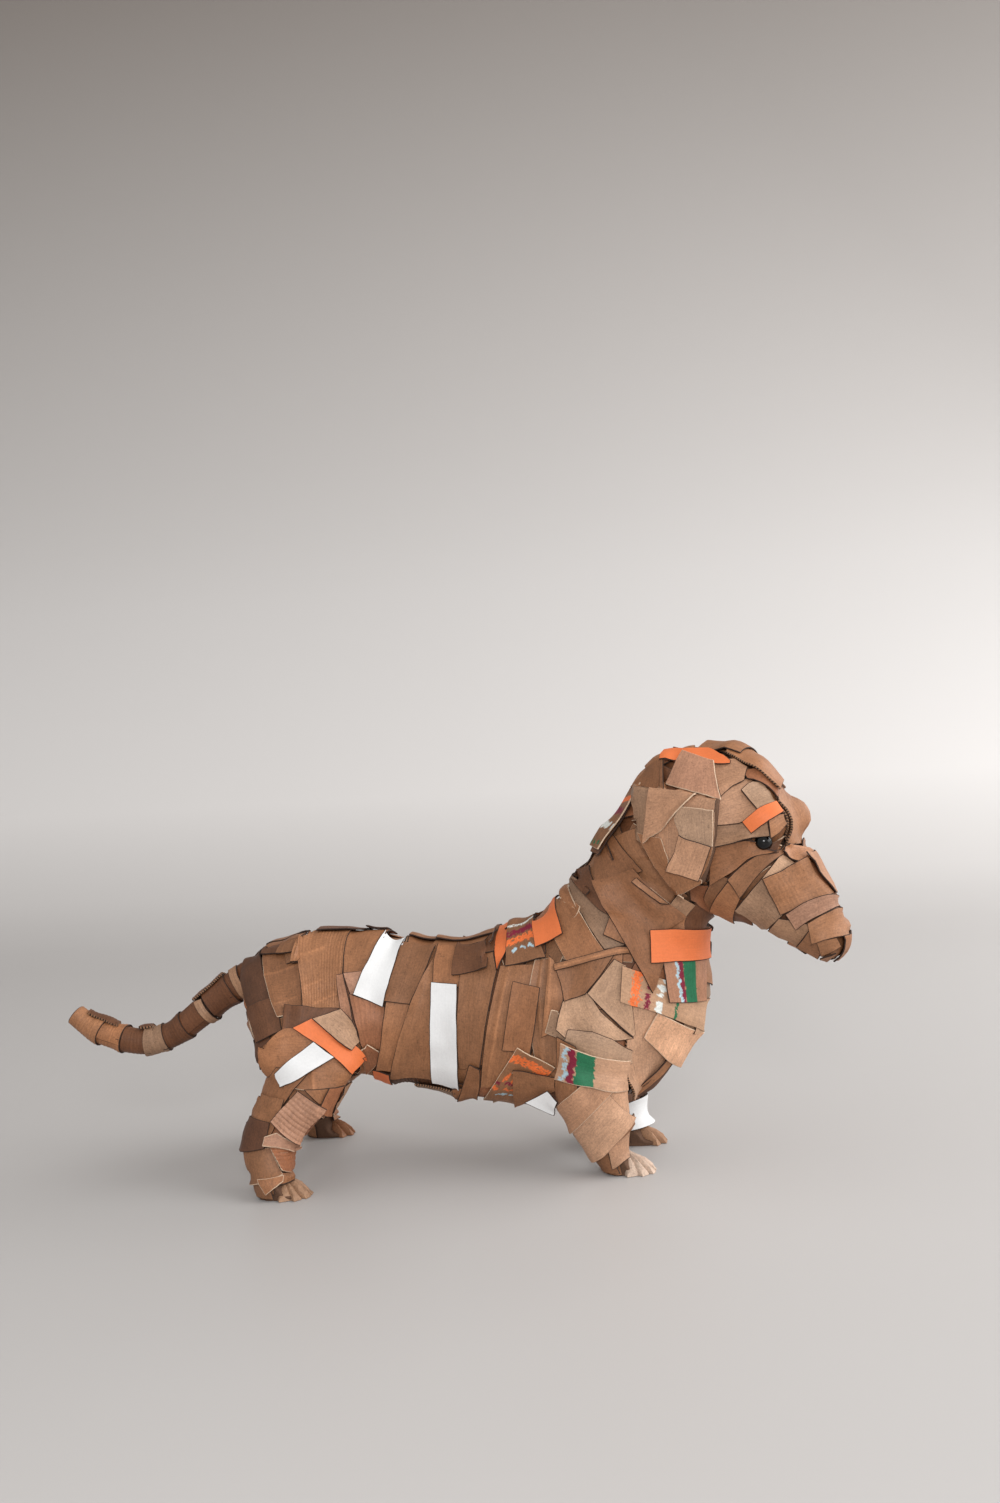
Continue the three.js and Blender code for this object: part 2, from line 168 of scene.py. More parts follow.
def only(piece):
    """Deselects all and makes one piece the selected and active one."""
    bpy.ops.object.select_all(action="DESELECT")
    piece.select_set(True)
    bpy.context.view_layer.objects.active = piece


def modify(piece, kind, **settings):
    """Adds one modifier to a piece and applies it."""
    only(piece)
    modifier = piece.modifiers.new(kind.title(), kind)
    for name, value in settings.items():
        setattr(modifier, name, value)
    bpy.ops.object.modifier_apply(modifier=modifier.name)


def turned(point):
    """A point in the head's own plane, in millimetres, as it stands with the head turned."""
    x = point[0] - NECK_LINE_X
    cos, sin = math.cos(HEAD_TURN), math.sin(HEAD_TURN)
    across = NECK_LINE_X + x * cos - point[1] * sin
    return Vector((across + FRAME_SHIFT_X, x * sin + point[1] * cos, point[2])) * MM


def straight(point):
    """A point in the body's frame, in millimetres, as a vector in metres."""
    return Vector((point[0] + FRAME_SHIFT_X, point[1], point[2])) * MM


def between(points, spot, arc=False):
    """The point at a place between 0 and the last index of a row of points, straight or on a curve."""
    k = min(int(spot), len(points) - 2)
    s = spot - k
    a, b = points[k], points[k + 1]
    before, after = points[max(k - 1, 0)], points[min(k + 2, len(points) - 1)]
    if not arc:
        return a.lerp(b, s)
    return 0.5 * (
        2 * a
        + (b - before) * s
        + (2 * before - 5 * a + 4 * b - after) * s * s
        + (3 * a - before - 3 * b + after) * s * s * s
    )


# ---------------------------------------------------------------- the core


def tree_of(piece):
    """A search tree of a piece's faces."""
    vertices = [v.co.copy() for v in piece.data.vertices]
    return BVHTree.FromPolygons(vertices, [tuple(p.vertices) for p in piece.data.polygons])


def copy_of(node, name):
    """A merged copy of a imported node."""
    bpy.ops.object.select_all(action="DESELECT")
    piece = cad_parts[node].copy()
    piece.data = piece.data.copy()
    piece.name = piece.data.name = name
    for key in list(piece.keys()):
        del piece[key]
    piece.parent = None
    bpy.context.scene.collection.objects.link(piece)
    only(piece)
    bpy.ops.object.mode_set(mode="EDIT")
    bpy.ops.mesh.select_all(action="SELECT")
    bpy.ops.mesh.remove_doubles(threshold=0.01 * MM)
    bpy.ops.object.mode_set(mode="OBJECT")
    return piece


def let_in(spot, normal):
    """A spot of the outline let in to the core's face, deeper at the nape and not upward at the feet."""
    x, z = spot.x / MM, spot.z / MM
    depth = CORE_INSET
    if normal.x < BACKWARD and NAPE_BACK < x < NAPE_FRONT:
        share = min((z - NAPE_LOW) / NAPE_FADE, (NAPE_HIGH - z) / NAPE_FADE, 1)
        depth += NAPE_SLIMMING * max(0, share)
    for middle_x, middle_z, radius, more in SLIMMED:
        away = math.hypot(x - middle_x, z - middle_z)
        depth += more * MM * max(0, min(1, 2 - 2 * away / radius)) * (1 - abs(normal.y))
    inner = spot - normal * depth
    if z < SOLE:
        inner.z += normal.z * depth * (1 - z / SOLE)
    return inner


def pressed(place):
    """A place of the core, pressed down where the toes cover it."""
    x, z = place.x / MM, place.z / MM
    for ankle, _, side in PAWS.values():
        if place.y * side > 0 and ankle < x < ankle + TOE_BED and z < TOE_BED_TOP:
            share = min(1, (x - ankle) / TOE_BED_FADE[0]) * min(1, (TOE_BED_TOP - z) / TOE_BED_FADE[1])
            place.z *= 1 - TOE_BED_DEPTH * share
    return place


core = copy_of("dog_body", "cardboard_core")
modify(core, "REMESH", mode="VOXEL", voxel_size=CORE_VOXEL)
modify(core, "SMOOTH", factor=0.5, iterations=CORE_SMOOTHING)
FORMS = {"body": tree_of(core)}  # the outlines that sheets are cast onto
outline = [(v.co.copy(), v.normal.copy()) for v in core.data.vertices]
core.data.vertices.foreach_set("co", [k for place in outline for k in pressed(let_in(*place))])
core.data.update()
for side in ("right", "left"):
    ear = copy_of(f"{side}_ear", f"{side}_ear_flap")
    modify(ear, "SUBSURF", levels=1, render_levels=1, subdivision_type="SIMPLE")
    FORMS[f"{side}_ear"] = tree_of(ear)

# ---------------------------------------------------------------- planning a sheet


def view_ray(view, side, u, v):
    """Where a ray of one view starts, and its way. Side is -1 for the right and 1 for the left."""
    far = RAY_START
    if view == "side":
        return straight((u, side * far, v)), Vector((0, -side, 0))
    if view == "head":
        way = turned((0, -side, 0)) - turned((0, 0, 0))
        return turned((u, side * far, v)), way.normalized()
    if view == "nose":
        way = turned((-1, 0, 0)) - turned((0, 0, 0))
        return turned((far, side * u, v)), way.normalized()
    down = Vector((0, 0, -1))
    return (turned if view == "crown" else straight)((u, side * v, far)), down


# How far a view's ray may run, and where it looks for the nearest spot when it misses, in metres. A
# side view's ray ends at the middle plane, so that it never meets the far legs.
RUNS = {
    "side": (0.5, 0.48),
    "head": (0.5, 0.48),
    "nose": (0.25, 0.18),
    "crown": (0.3, 0.18),
    "top": (0.5, 0.31),
}
HIND_LEG_AIM, FRONT_LEG_AIM = 0.43, 0.46


def cast(form, view, side, u, v):
    """The spot and normal where a ray meets a form, or the nearest spot to it where it misses."""
    start, way = view_ray(view, side, u, v)
    run, aim = RUNS[view]
    if view == "side" and v < LEG_TOP and not HIND_LEG_X <= u <= FRONT_LEG_X:
        aim = HIND_LEG_AIM if u < 0 else FRONT_LEG_AIM
    spot, normal, _, _ = FORMS[form].ray_cast(start, way, run)
    if spot is None:
        spot, normal, _, _ = FORMS[form].find_nearest(start + way * aim)
    return spot, normal


def walk_on(form, rows, distance):
    """More rows past the last one, walked over the form in the way the sheet was going."""
    steps = max(1, round(distance / CELL))
    added = []
    last, previous = rows[-1], rows[-2]
    headings = [(a[0] - b[0]).normalized() for a, b in zip(last, previous)]
    for _ in range(steps):
        row = []
        for index, (spot, normal) in enumerate(last):
            aim = spot + headings[index] * (distance / steps)
            near, facing, _, _ = FORMS[form].find_nearest(aim)
            headings[index] = (near - spot).normalized()
            row.append((near, facing))
        added.append(row)
        last = row
    return added


def board(corners):
    """A stiff flat sheet between four corners, which stands clear of the core."""
    a, b, c, d = (straight(corner) for corner in corners)
    columns = max(3, round((b - a).length / CELL))
    count = max(3, round((c - b).length / CELL))
    normal = (b - a).cross(d - a).normalized()
    normal = normal if normal.y < 0 else -normal
    rows = []
    for row in range(count + 1):
        first, second = a.lerp(d, row / count), b.lerp(c, row / count)
        rows.append([(first.lerp(second, column / columns), normal) for column in range(columns + 1)])
    return rows


def planned(sheet):
    """The spots and normals of a sheet's grid on its form, in rows."""
    view, side, form = sheet["view"], sheet["side"], sheet["form"]
    if view == "corners":
        sheet["clear"] = True
        return faced(sheet, board(sheet["rungs"]))
    rungs = [(Vector(r[0:2]), Vector(r[2:4])) for r in sheet["rungs"]]
    lengths = [((a[0] + a[1]) - (b[0] + b[1])).length / 2 for a, b in zip(rungs, rungs[1:])]
    width = max((a - b).length for a, b in rungs)
    columns = max(3, round(width * MM / CELL))
    total = sum(lengths)
    count = max(3, round(total * MM / CELL))
    rows = []
    for row in range(count + 1):
        run, k = total * row / count, 0
        while k < len(lengths) - 1 and run > lengths[k]:
            run -= lengths[k]
            k += 1
        spot = k + min(run / lengths[k], 1)
        first = between([r[0] for r in rungs], spot, sheet.get("arc"))
        second = between([r[1] for r in rungs], spot, sheet.get("arc"))
        line = []
        for column in range(columns + 1):
            u, v = first.lerp(second, column / columns)
            line.append(cast(form, view, side, u, v))
        rows.append(line)
    if sheet.get("over"):
        rows = walk_on(form, rows[::-1], sheet["over"] * MM)[::-1] + rows
    if sheet.get("under"):
        rows = rows + walk_on(form, rows, sheet["under"] * MM)
    return faced(sheet, rows)


def faced(sheet, rows):
    """A sheet's rows facing out, with a note on the sheet of whether they were turned round for it."""
    made = oriented(rows)
    sheet["flipped"] = made is not rows
    return made


def oriented(rows):
    """Rows of spots and normals, each row turned round where the grid would face in."""
    lean = 0
    for upper, lower in zip(rows, rows[1:]):
        for column in range(len(upper) - 1):
            along = upper[column + 1][0] - upper[column][0]
            down = lower[column][0] - upper[column][0]
            lean += along.cross(down).dot(upper[column][1])
    return [row[::-1] for row in rows] if lean < 0 else rows


def wrapped(form, axis, span, turn, side):
    """A grid wound around a leg's middle line, from share to share of it and from turn to turn."""
    spots = [straight((x, y * side, z)) for x, y, z in axis]
    lengths = [(b - a).length for a, b in zip(spots, spots[1:])]

    def middle(share):
        run, k = share * sum(lengths), 0
        while k < len(lengths) - 1 and run > lengths[k]:
            run -= lengths[k]
            k += 1
        return spots[k].lerp(spots[k + 1], run / lengths[k]), (spots[k + 1] - spots[k]).normalized()

    columns = max(3, round((span[1] - span[0]) * sum(lengths) / CELL))
    count = max(4, round(abs(turn[1] - turn[0]) * 2 * math.pi * LEG_RADIUS * MM / CELL))
    rows = []
    for r in range(count + 1):
        angle = (turn[0] + (turn[1] - turn[0]) * r / count) * 2 * math.pi
        row = []
        for c in range(columns + 1):
            centre, way = middle(span[0] + (span[1] - span[0]) * c / columns)
            outer = Vector((0, side, 0))
            outer = (outer - way * outer.dot(way)).normalized()
            ahead = way.cross(outer)
            ahead = ahead if ahead.x > 0 else -ahead
            out = outer * math.cos(angle) + ahead * math.sin(angle)
            spot, normal, _, far = FORMS[form].ray_cast(centre, out)
            if spot is None or far > LEG_REACH * MM:
                spot, normal, _, _ = FORMS[form].find_nearest(centre + out * LEG_NEAR * MM)
            row.append((spot, normal))
        rows.append(row)
    return oriented(rows)


def walked(form, centre, heading, length, width):
    """A grid that starts at a spot on the form and is walked out over it both ways."""

    def nearest(place):
        return FORMS[form].find_nearest(place)[:2]

    spot, normal = nearest(centre)
    heading = (heading - normal * heading.dot(normal)).normalized()
    across = normal.cross(heading)
    columns = max(3, round(width / CELL))
    middle = [nearest(spot + across * width * (c / columns - 0.5)) for c in range(columns + 1)]
    ahead = [nearest(p + heading * MM) for p, _ in middle]
    behind = [nearest(p - heading * MM) for p, _ in middle]
    front = walk_on(form, [middle, ahead], length / 2)
    back = walk_on(form, [middle, behind], length / 2)
    return oriented(back[::-1] + [middle] + front)


# ---------------------------------------------------------------- laying a sheet

laid = []  # (lowest corner, highest corner, tree of the upper face) of every sheet so far


def evened(grid, rounds):
    """A grid of values with its inner ones drawn towards their neighbours."""
    height, width = len(grid), len(grid[0])
    for _ in range(rounds):
        grid = [
            [
                grid[r][c]
                if r in (0, height - 1) or c in (0, width - 1)
                else grid[r][c] * 0.5
                + (grid[r - 1][c] + grid[r + 1][c] + grid[r][c - 1] + grid[r][c + 1]) * 0.125
                for c in range(width)
            ]
            for r in range(height)
        ]
    return grid


def neighbours(grid, r, c):
    """The values beside one place of a grid."""
    found = []
    for dr, dc in ((-1, 0), (1, 0), (0, -1), (0, 1)):
        if 0 <= r + dr < len(grid) and 0 <= c + dc < len(grid[0]):
            found.append(grid[r + dr][c + dc])
    return found


def rest_heights(spots, normals, bridge, reach):
    """How high over the core each place of a sheet rests on the sheets below it."""
    flat = [p for row in spots for p in row]
    low = Vector([min(p[k] for p in flat) - reach for k in range(3)])
    high = Vector([max(p[k] for p in flat) + reach for k in range(3)])
    near = [
        tree
        for a, b, tree in laid
        if all(a[k] <= high[k] and b[k] >= low[k] for k in range(3))
    ]
    raw = []
    for row, facing in zip(spots, normals):
        line = []
        for spot, normal in zip(row, facing):
            start = spot + normal * reach
            top = 0.0
            for tree in near:
                hit, face, _, far = tree.ray_cast(start, -normal, reach + MM)
                if hit is not None and face.dot(normal) > FACING:
                    top = max(top, reach - far)
            line.append(top)
        raw.append(line)
    wide = [
        [max([raw[r][c], *neighbours(raw, r, c)]) for c in range(len(raw[0]))]
        for r in range(len(raw))
    ]
    held = [row[:] for row in wide]
    for _ in range(bridge):
        held = [
            [
                max(wide[r][c], sum(neighbours(held, r, c)) / len(neighbours(held, r, c)))
                for c in range(len(held[0]))
            ]
            for r in range(len(held))
        ]
    return evened(held, 2)


def grid_faces(height, width, start=0):
    """The faces of a grid of points that are listed row by row, from a first index on."""
    corners = [start + r * width + c for r in range(height - 1) for c in range(width - 1)]
    return [(k, k + 1, k + width + 1, k + width) for k in corners]


def lay(sheet, rows):
    """Rests a planned grid on what lies below it and keeps its upper face for the next ones."""
    spots = evened([[place[0] for place in row] for row in rows], 2)
    normals = evened([[place[1] for place in row] for row in rows], 3)
    normals = [[n.normalized() for n in row] for row in normals]
    if sheet.get("form", "body") == "body" and not sheet.get("clear"):
        spots = [[let_in(*place) for place in zip(*pair)] for pair in zip(spots, normals)]
    reach = sheet.get("reach", REACH / MM) * MM
    heights = rest_heights(spots, normals, sheet.get("bridge", BRIDGE), reach)
    height, width = len(rows), len(rows[0])
    seed = Vector((len(laid) * 1.7, 0, 0))
    sheet["thickness"] = THICK if sheet.get("edge") == "fluted" else SHEET
    corners = [random.random() ** 3 * CORNER_LIFT * MM for _ in range(4)]
    if sheet.get("over"):
        corners[0:2] = (0, 0)
    lift = sheet.get("lift", (0, 0, 0, 0))
    points, tops = [], []
    for r in range(height):
        t = r / (height - 1)
        for c in range(width):
            s = c / (width - 1)
            s = 1 - s if sheet.get("flipped") else s
            spot, normal = spots[r][c], normals[r][c]
            rise = heights[r][c] + GLUE
            for k, (cs, ct) in enumerate(((0, 0), (1, 0), (1, 1), (0, 1))):
                away = math.hypot((s - cs) * width, (t - ct) * height) * CELL
                rise += corners[k] * max(0, 1 - away / (CORNER_CURL * MM)) ** 2
            for k, away in enumerate((t * height, (1 - s) * width, (1 - t) * height, s * width)):
                rise += lift[k] * MM * max(0, 1 - away * CELL / (EDGE_CURL * MM)) ** 1.5
            rise += WAVES * MM * (noise.noise(spot * WAVE_SCALE + seed) + 0.6)
            ragged = noise.noise_vector(spot * RAG_SCALE + seed) * RAGS * MM
            at = spot + normal * rise
            if r in (0, height - 1) or c in (0, width - 1):
                at += ragged - normal * ragged.dot(normal)
            at.z = max(at.z, FLOOR_GAP)
            points.append(at)
            tops.append(at + normal * sheet["thickness"])
    faces = grid_faces(height, width)
    low = Vector([min(p[k] for p in tops) for k in range(3)])
    high = Vector([max(p[k] for p in tops) for k in range(3)])
    laid.append((low, high, BVHTree.FromPolygons(tops, faces)))
    sheet["grid"] = [points[r * width : (r + 1) * width] for r in range(height)]
    sheet["normals"] = normals
    return sheet


# ---------------------------------------------------------------- a sheet's mesh

blanks = {}  # flat grids that are made once for each number of columns and rows
meshed = {}  # the sheets of each piece


def blank(columns, rows):
    """A flat grid of this many columns and rows, made once and kept out of the scene."""
    if (columns, rows) not in blanks:
        bpy.ops.object.select_all(action="DESELECT")
        bpy.ops.mesh.primitive_grid_add(x_subdivisions=columns, y_subdivisions=rows, size=1)
        flat = bpy.context.object
        blanks[columns, rows] = flat.data.copy()
        bpy.data.objects.remove(flat)
    return blanks[columns, rows]


def sampled(grid, s, t):
    """A value between a grid's places, at shares of its width and height."""
    r = t * (len(grid) - 1)
    c = s * (len(grid[0]) - 1)
    r0, c0 = min(int(r), len(grid) - 2), min(int(c), len(grid[0]) - 2)
    upper = grid[r0][c0].lerp(grid[r0][c0 + 1], c - c0)
    lower = grid[r0 + 1][c0].lerp(grid[r0 + 1][c0 + 1], c - c0)
    return upper.lerp(lower, r - r0)


def grid_size(grid):
    """The width and length of a laid grid, measured along its middle."""
    row, column = len(grid) // 2, len(grid[0]) // 2
    width = sum((a - b).length for a, b in zip(grid[row], grid[row][1:]))
    length = sum((a[column] - b[column]).length for a, b in zip(grid, grid[1:]))
    return width, length


def fineness(sheet, width, length):
    """The columns and rows of a sheet's mesh: more where it is daubed, fluted or creased."""
    columns, rows = len(sheet["grid"][0]) - 1, len(sheet["grid"]) - 1
    if sheet.get("daubs"):
        columns, rows = round(width / (FINE_CELL * MM)), round(length / (FINE_CELL * MM))
    if sheet.get("flutes") == "along":
        columns = round(width / (FLUTE_CELL * MM))
    if sheet.get("flutes") == "across":
        rows = round(length / (FLUTE_CELL * MM))
    if sheet.get("creases"):
        rows = max(rows, round(length / (CREASE_CELL * MM)))
        columns = max(columns, round(width / (CREASE_CELL * MM)))
    return columns, rows


def fluted(sheet, x, y, seed):
    """How far the flutes lift a sheet at a place, in metres, and how far they are rubbed pale there."""
    run = x if sheet["flutes"] == "along" else y
    pitch = sheet.get("pitch", FLUTE_PITCH) * MM
    # The flutes wander, are stronger here than there, and are rubbed in patches.
    wobble = noise.noise(Vector((x * 60, y * 60, 0)) + seed) * 1.2
    strength = 0.75 + 0.5 * noise.noise(Vector((x * 45, y * 45, 3)) + seed)
    ridge = strength * math.cos(2 * math.pi * run / pitch + wobble)
    patch = max(0, noise.noise(Vector((x * 90, y * 30, 8)) + seed) + 0.5)
    return sheet.get("depth", FLUTE_DEPTH) * MM * ridge, 0.5 * max(0, ridge) * patch


def cut(sheet):
    """Makes a laid sheet's mesh, with its flutes, creases and colour, and files it by piece."""
    grid, normals = sheet["grid"], sheet["normals"]
    width, length = grid_size(grid)
    columns, rows = fineness(sheet, width, length)
    mesh = blank(columns, rows).copy()
    seed = Vector((random.random() * 50, random.random() * 50, 0))
    tint = shade(sheet["tone"])
    places, tints = [], []
    for r in range(rows + 1):
        for c in range(columns + 1):
            s, t = c / columns, r / rows
            spot, normal = sampled(grid, s, t), sampled(normals, s, t)
            s = 1 - s if sheet.get("flipped") else s
            x, y = s * width, t * length
            rise, rubbed = fluted(sheet, x, y, seed) if sheet.get("flutes") else (0.0, 0.0)
            for a, b, depth in sheet.get("creases", ()):
                lift, rub = crease((s, t), a, b, depth, (width, length))
                rise += lift
                rubbed = max(rubbed, rub)
            place = spot + normal * rise
            place.z = max(place.z, FLOOR_GAP)
            places.extend(place)
            worn = tint if tint[3] else tuple(k * (1 + RUB * rubbed) for k in tint[:3]) + (0.0,)
            tints.extend(daubed(sheet, worn, x / MM, y / MM - sheet.get("over", 0), seed))
    mesh.vertices.foreach_set("co", places)
    colours = mesh.attributes.new("tint", "FLOAT_COLOR", "POINT")
    colours.data.foreach_set("color", tints)
    offset = Vector((random.random(), random.random()))
    for loop, data in zip(mesh.loops, mesh.uv_layers[0].data):
        r, c = divmod(loop.vertex_index, columns + 1)
        data.uv = Vector((c / columns * width, r / rows * length)) + offset
    piece = bpy.data.objects.new(sheet["piece"], mesh)
    bpy.context.scene.collection.objects.link(piece)
    # The rim and the chamfer take the edge colour: the dark one is painted shade under the sheet's edge,
    # with card darkened by glue at the cut; the pale one is paler cut card with painted light on it.
    for finish in (sheet["finish"], f"{sheet.get('edge', 'dark')}_edge"):
        mesh.materials.append(MATERIALS[finish])
    modify(piece, "SOLIDIFY", thickness=sheet["thickness"], offset=1.0, material_offset_rim=1)
    modify(piece, "BEVEL", width=CHAMFER, segments=1, angle_limit=math.radians(55), material=1)
    meshed.setdefault(sheet["piece"], []).append(piece)


LIGHTER, WARMER = (0.86, 1.14), (-0.04, 0.04)  # how far one sheet of a tone is from another


def shade(tone):
    """A tone, a little lighter or darker each time. Paint stays as it is, and its last value is 1."""
    red, green, blue, _ = TONES[tone]
    if tone in ("orange", "white"):
        return TONES[tone]
    light = random.uniform(*LIGHTER)
    warm = random.uniform(*WARMER)
    return (red * light * (1 + warm), green * light, blue * light * (1 - warm), 0.0)


def crease(place, a, b, depth, size):
    """How far a fold from a to b, in shares of a sheet, lifts it at a place, and how pale it is rubbed."""
    start, end, at = (Vector((p[0] * size[0], p[1] * size[1], 0)) for p in (a, b, place))
    way = end - start
    share = max(0, min(1, (at - start).dot(way) / way.length_squared))
    off = (at - start - way * share).length
    return depth * MM * max(0.0, 1 - off / (CREASE_WIDTH * MM)), max(0.0, 1 - off / (CREASE_RUB * MM))


def daubed(sheet, tint, x, y, seed):
    """The colour at a place of a sheet, in millimetres, with any daubs of paint over the card."""

    def cloud(u, v, w):
        return noise.noise(Vector((u, v, w)) + seed)

    for paint, kind, where, size, spread in sheet.get("daubs", ()):
        run, cross = (x, y) if sheet.get("bars", "along") == "along" else (y, x)
        ragged = cloud(cross * 0.28, where, 0) * spread + cloud(cross * 0.9, where, 5) * spread * 0.6
        off = abs(run - where - ragged)
        if kind == "bar":
            covered = off < size / 2 and cloud(x * 0.5, y * 0.5, 9) < 0.32
        elif kind == "blocks":
            block = cloud(round(cross * 0.32) * 1.7, where * 2, 7)
            edge = cloud(x * 0.7, y * 0.7, where)
            covered = off < size / 2 * (1 + edge) and block > -0.2 and edge < 0.35
        elif kind == "solid":
            covered = abs(run - where - ragged * 0.5) < size / 2
        else:
            blob = cloud(cross * 0.24, where * 3, 11)
            covered = off < size / 2 * (0.4 + 1.6 * max(0, blob + 0.15)) and blob > -0.12
        if covered:
            return PAINTS[paint]
    return tint


# ---------------------------------------------------------------- materials

MATERIALS = {}


def new_material(name):
    """An empty node material with its shader."""
    material = bpy.data.materials.new(name)
    material.use_nodes = True
    nodes, links = material.node_tree.nodes, material.node_tree.links
    shader = nodes["Principled BSDF"]
    MATERIALS[name] = material
    return nodes, links, shader


def noise_node(nodes, links, vector, scale, detail, rough=0.5):
    """A noise texture on a vector."""
    node = nodes.new("ShaderNodeTexNoise")
    node.inputs["Scale"].default_value = scale
    node.inputs["Detail"].default_value = detail
    node.inputs["Roughness"].default_value = rough
    links.new(vector, node.inputs["Vector"])
    return node.outputs["Fac"]


def ramp(nodes, links, value, low, high, start, end):
    """A value from a factor, clamped between two places."""
    node = nodes.new("ShaderNodeMapRange")
    node.inputs["From Min"].default_value = low
    node.inputs["From Max"].default_value = high
    node.inputs["To Min"].default_value = start
    node.inputs["To Max"].default_value = end
    links.new(value, node.inputs["Value"])
    return node.outputs["Result"]


def multiplied(nodes, links, a, b):
    """The product of two values."""
    node = nodes.new("ShaderNodeMath")
    node.operation = "MULTIPLY"
    links.new(a, node.inputs[0])
    links.new(b, node.inputs[1])
    return node.outputs[0]


def scaled(nodes, links, colour, value):
    """A colour, fixed or out of a node, made lighter or darker by a value."""
    node = nodes.new("ShaderNodeVectorMath")
    node.operation = "SCALE"
    if isinstance(colour, tuple):
        node.inputs[0].default_value = colour[:3]
    else:
        links.new(colour, node.inputs[0])
    links.new(value, node.inputs["Scale"])
    return node.outputs[0]


# The noises of card: scale, detail and roughness. The streaks' scale is across and along a sheet.
MOTTLE, SPECK, FLECK = (70, 5, 0.65), (640, 3, 0.7), (560, 1, 0.5)
STREAK, STREAKS = (1, 3, 0.55), (900, 60, 1)
EDGE_SPECK = (700, 3, 0.65)
RELIEF = 0.25 * MM
CARD_GLOSS = 0.36


def cardboard(name, strength=1.0, roughness=0.58, bump=0.35):
    """Kraft card or painted card: mottled, speckled and streaked along its flutes, in the sheet's tint."""
    nodes, links, shader = new_material(name)
    place = nodes.new("ShaderNodeTexCoord").outputs["Object"]
    uv = nodes.new("ShaderNodeUVMap").outputs["UV"]
    tint = nodes.new("ShaderNodeAttribute")
    tint.attribute_name = "tint"
    stretch = nodes.new("ShaderNodeMapping")
    stretch.inputs["Scale"].default_value = STREAKS
    links.new(uv, stretch.inputs["Vector"])
    mottle = noise_node(nodes, links, place, *MOTTLE)
    speck = noise_node(nodes, links, place, *SPECK)
    fleck = noise_node(nodes, links, place, *FLECK)
    streak = noise_node(nodes, links, stretch.outputs["Vector"], *STREAK)
    value = ramp(nodes, links, mottle, 0.3, 0.7, 1 - 0.15 * strength, 1 + 0.15 * strength)
    fine = ramp(nodes, links, speck, 0.32, 0.66, 1 - 0.2 * strength, 1 + 0.14 * strength)
    spots = ramp(nodes, links, fleck, 0.62, 0.74, 1, 1 - 0.28 * strength)
    lines = ramp(nodes, links, streak, 0.35, 0.65, 1 - 0.1 * strength, 1 + 0.1 * strength)
    cloudy = multiplied(nodes, links, value, fine)
    total = multiplied(nodes, links, cloudy, multiplied(nodes, links, lines, spots))
    links.new(scaled(nodes, links, tint.outputs["Color"], total), shader.inputs["Base Color"])
    rough = ramp(nodes, links, mottle, 0.3, 0.7, roughness + 0.08, roughness - 0.1)
    links.new(rough, shader.inputs["Roughness"])
    shader.inputs["Specular IOR Level"].default_value = CARD_GLOSS
    relief = nodes.new("ShaderNodeBump")
    relief.inputs["Strength"].default_value = bump
    relief.inputs["Distance"].default_value = RELIEF
    height = nodes.new("ShaderNodeMath")
    height.operation = "ADD"
    links.new(speck, height.inputs[0])
    links.new(streak, height.inputs[1])
    links.new(height.outputs[0], relief.inputs["Height"])
    links.new(relief.outputs["Normal"], shader.inputs["Normal"])


def plain_card(name, colour, roughness, contrast):
    """Card without a tint of its own: the core and the cut edges. Their colours carry painted shade, and
    the pale edge's painted light.
    """
    nodes, links, shader = new_material(name)
    place = nodes.new("ShaderNodeTexCoord").outputs["Object"]
    speck = noise_node(nodes, links, place, *EDGE_SPECK)
    value = ramp(nodes, links, speck, 0.3, 0.7, 1 - contrast, 1 + contrast)
    links.new(scaled(nodes, links, colour, value), shader.inputs["Base Color"])
    shader.inputs["Roughness"].default_value = roughness


def fluted_card(name, light, dark):
    """The cut edge of thick card, where its flutes end: light and dark stripes along the edge, the dark
    ones painted shade in the open flutes.
    """
    nodes, links, shader = new_material(name)
    uv = nodes.new("ShaderNodeUVMap").outputs["UV"]
    wave = nodes.new("ShaderNodeTexWave")
    wave.bands_direction = "DIAGONAL"
    wave.inputs["Scale"].default_value = 2 * math.pi / 10 / FLUTE
    wave.inputs["Distortion"].default_value = 0.6
    links.new(uv, wave.inputs["Vector"])
    stripes = nodes.new("ShaderNodeValToRGB")
    stripes.color_ramp.elements[0].position = 0.35
    stripes.color_ramp.elements[0].color = dark
    stripes.color_ramp.elements[1].position = 0.6
    stripes.color_ramp.elements[1].color = light
    links.new(wave.outputs["Fac"], stripes.inputs["Fac"])
    links.new(stripes.outputs["Color"], shader.inputs["Base Color"])
    shader.inputs["Roughness"].default_value = 0.9


def bead_black(name):
    """A glossy black bead with a faint cloud in its depth."""
    nodes, links, shader = new_material(name)
    place = nodes.new("ShaderNodeTexCoord").outputs["Object"]
    cloud = noise_node(nodes, links, place, 260, 2)
    value = ramp(nodes, links, cloud, 0.3, 0.7, 0.5, 1.5)
    links.new(scaled(nodes, links, (0.0008, 0.0008, 0.001), value), shader.inputs["Base Color"])
    shader.inputs["Roughness"].default_value = 0.17
    shader.inputs["Specular IOR Level"].default_value = 0.36


cardboard("kraft_sheet")
cardboard("printed_sheet", strength=0.8)
cardboard("orange_sheet", strength=0.25, roughness=0.55, bump=0.2)
cardboard("white_sheet", strength=0.15, roughness=0.6, bump=0.2)
# The dark edge is painted shade in the gap under a sheet's edge, with card darkened by glue; the pale edge
# is paler cut card with painted light.
plain_card("dark_edge", linear(56, 38, 29), 0.9, 0.5)
plain_card("pale_edge", linear(206, 178, 152), 0.9, 0.25)
fluted_card("fluted_edge", linear(150, 112, 84), linear(34, 22, 17))
# The core is darker than most sheets, so that where it shows between them it reads as the shade in the
# gaps: painted shade.
plain_card("core_card", linear(96, 68, 50), 0.9, 0.2)
bead_black("black_glass")
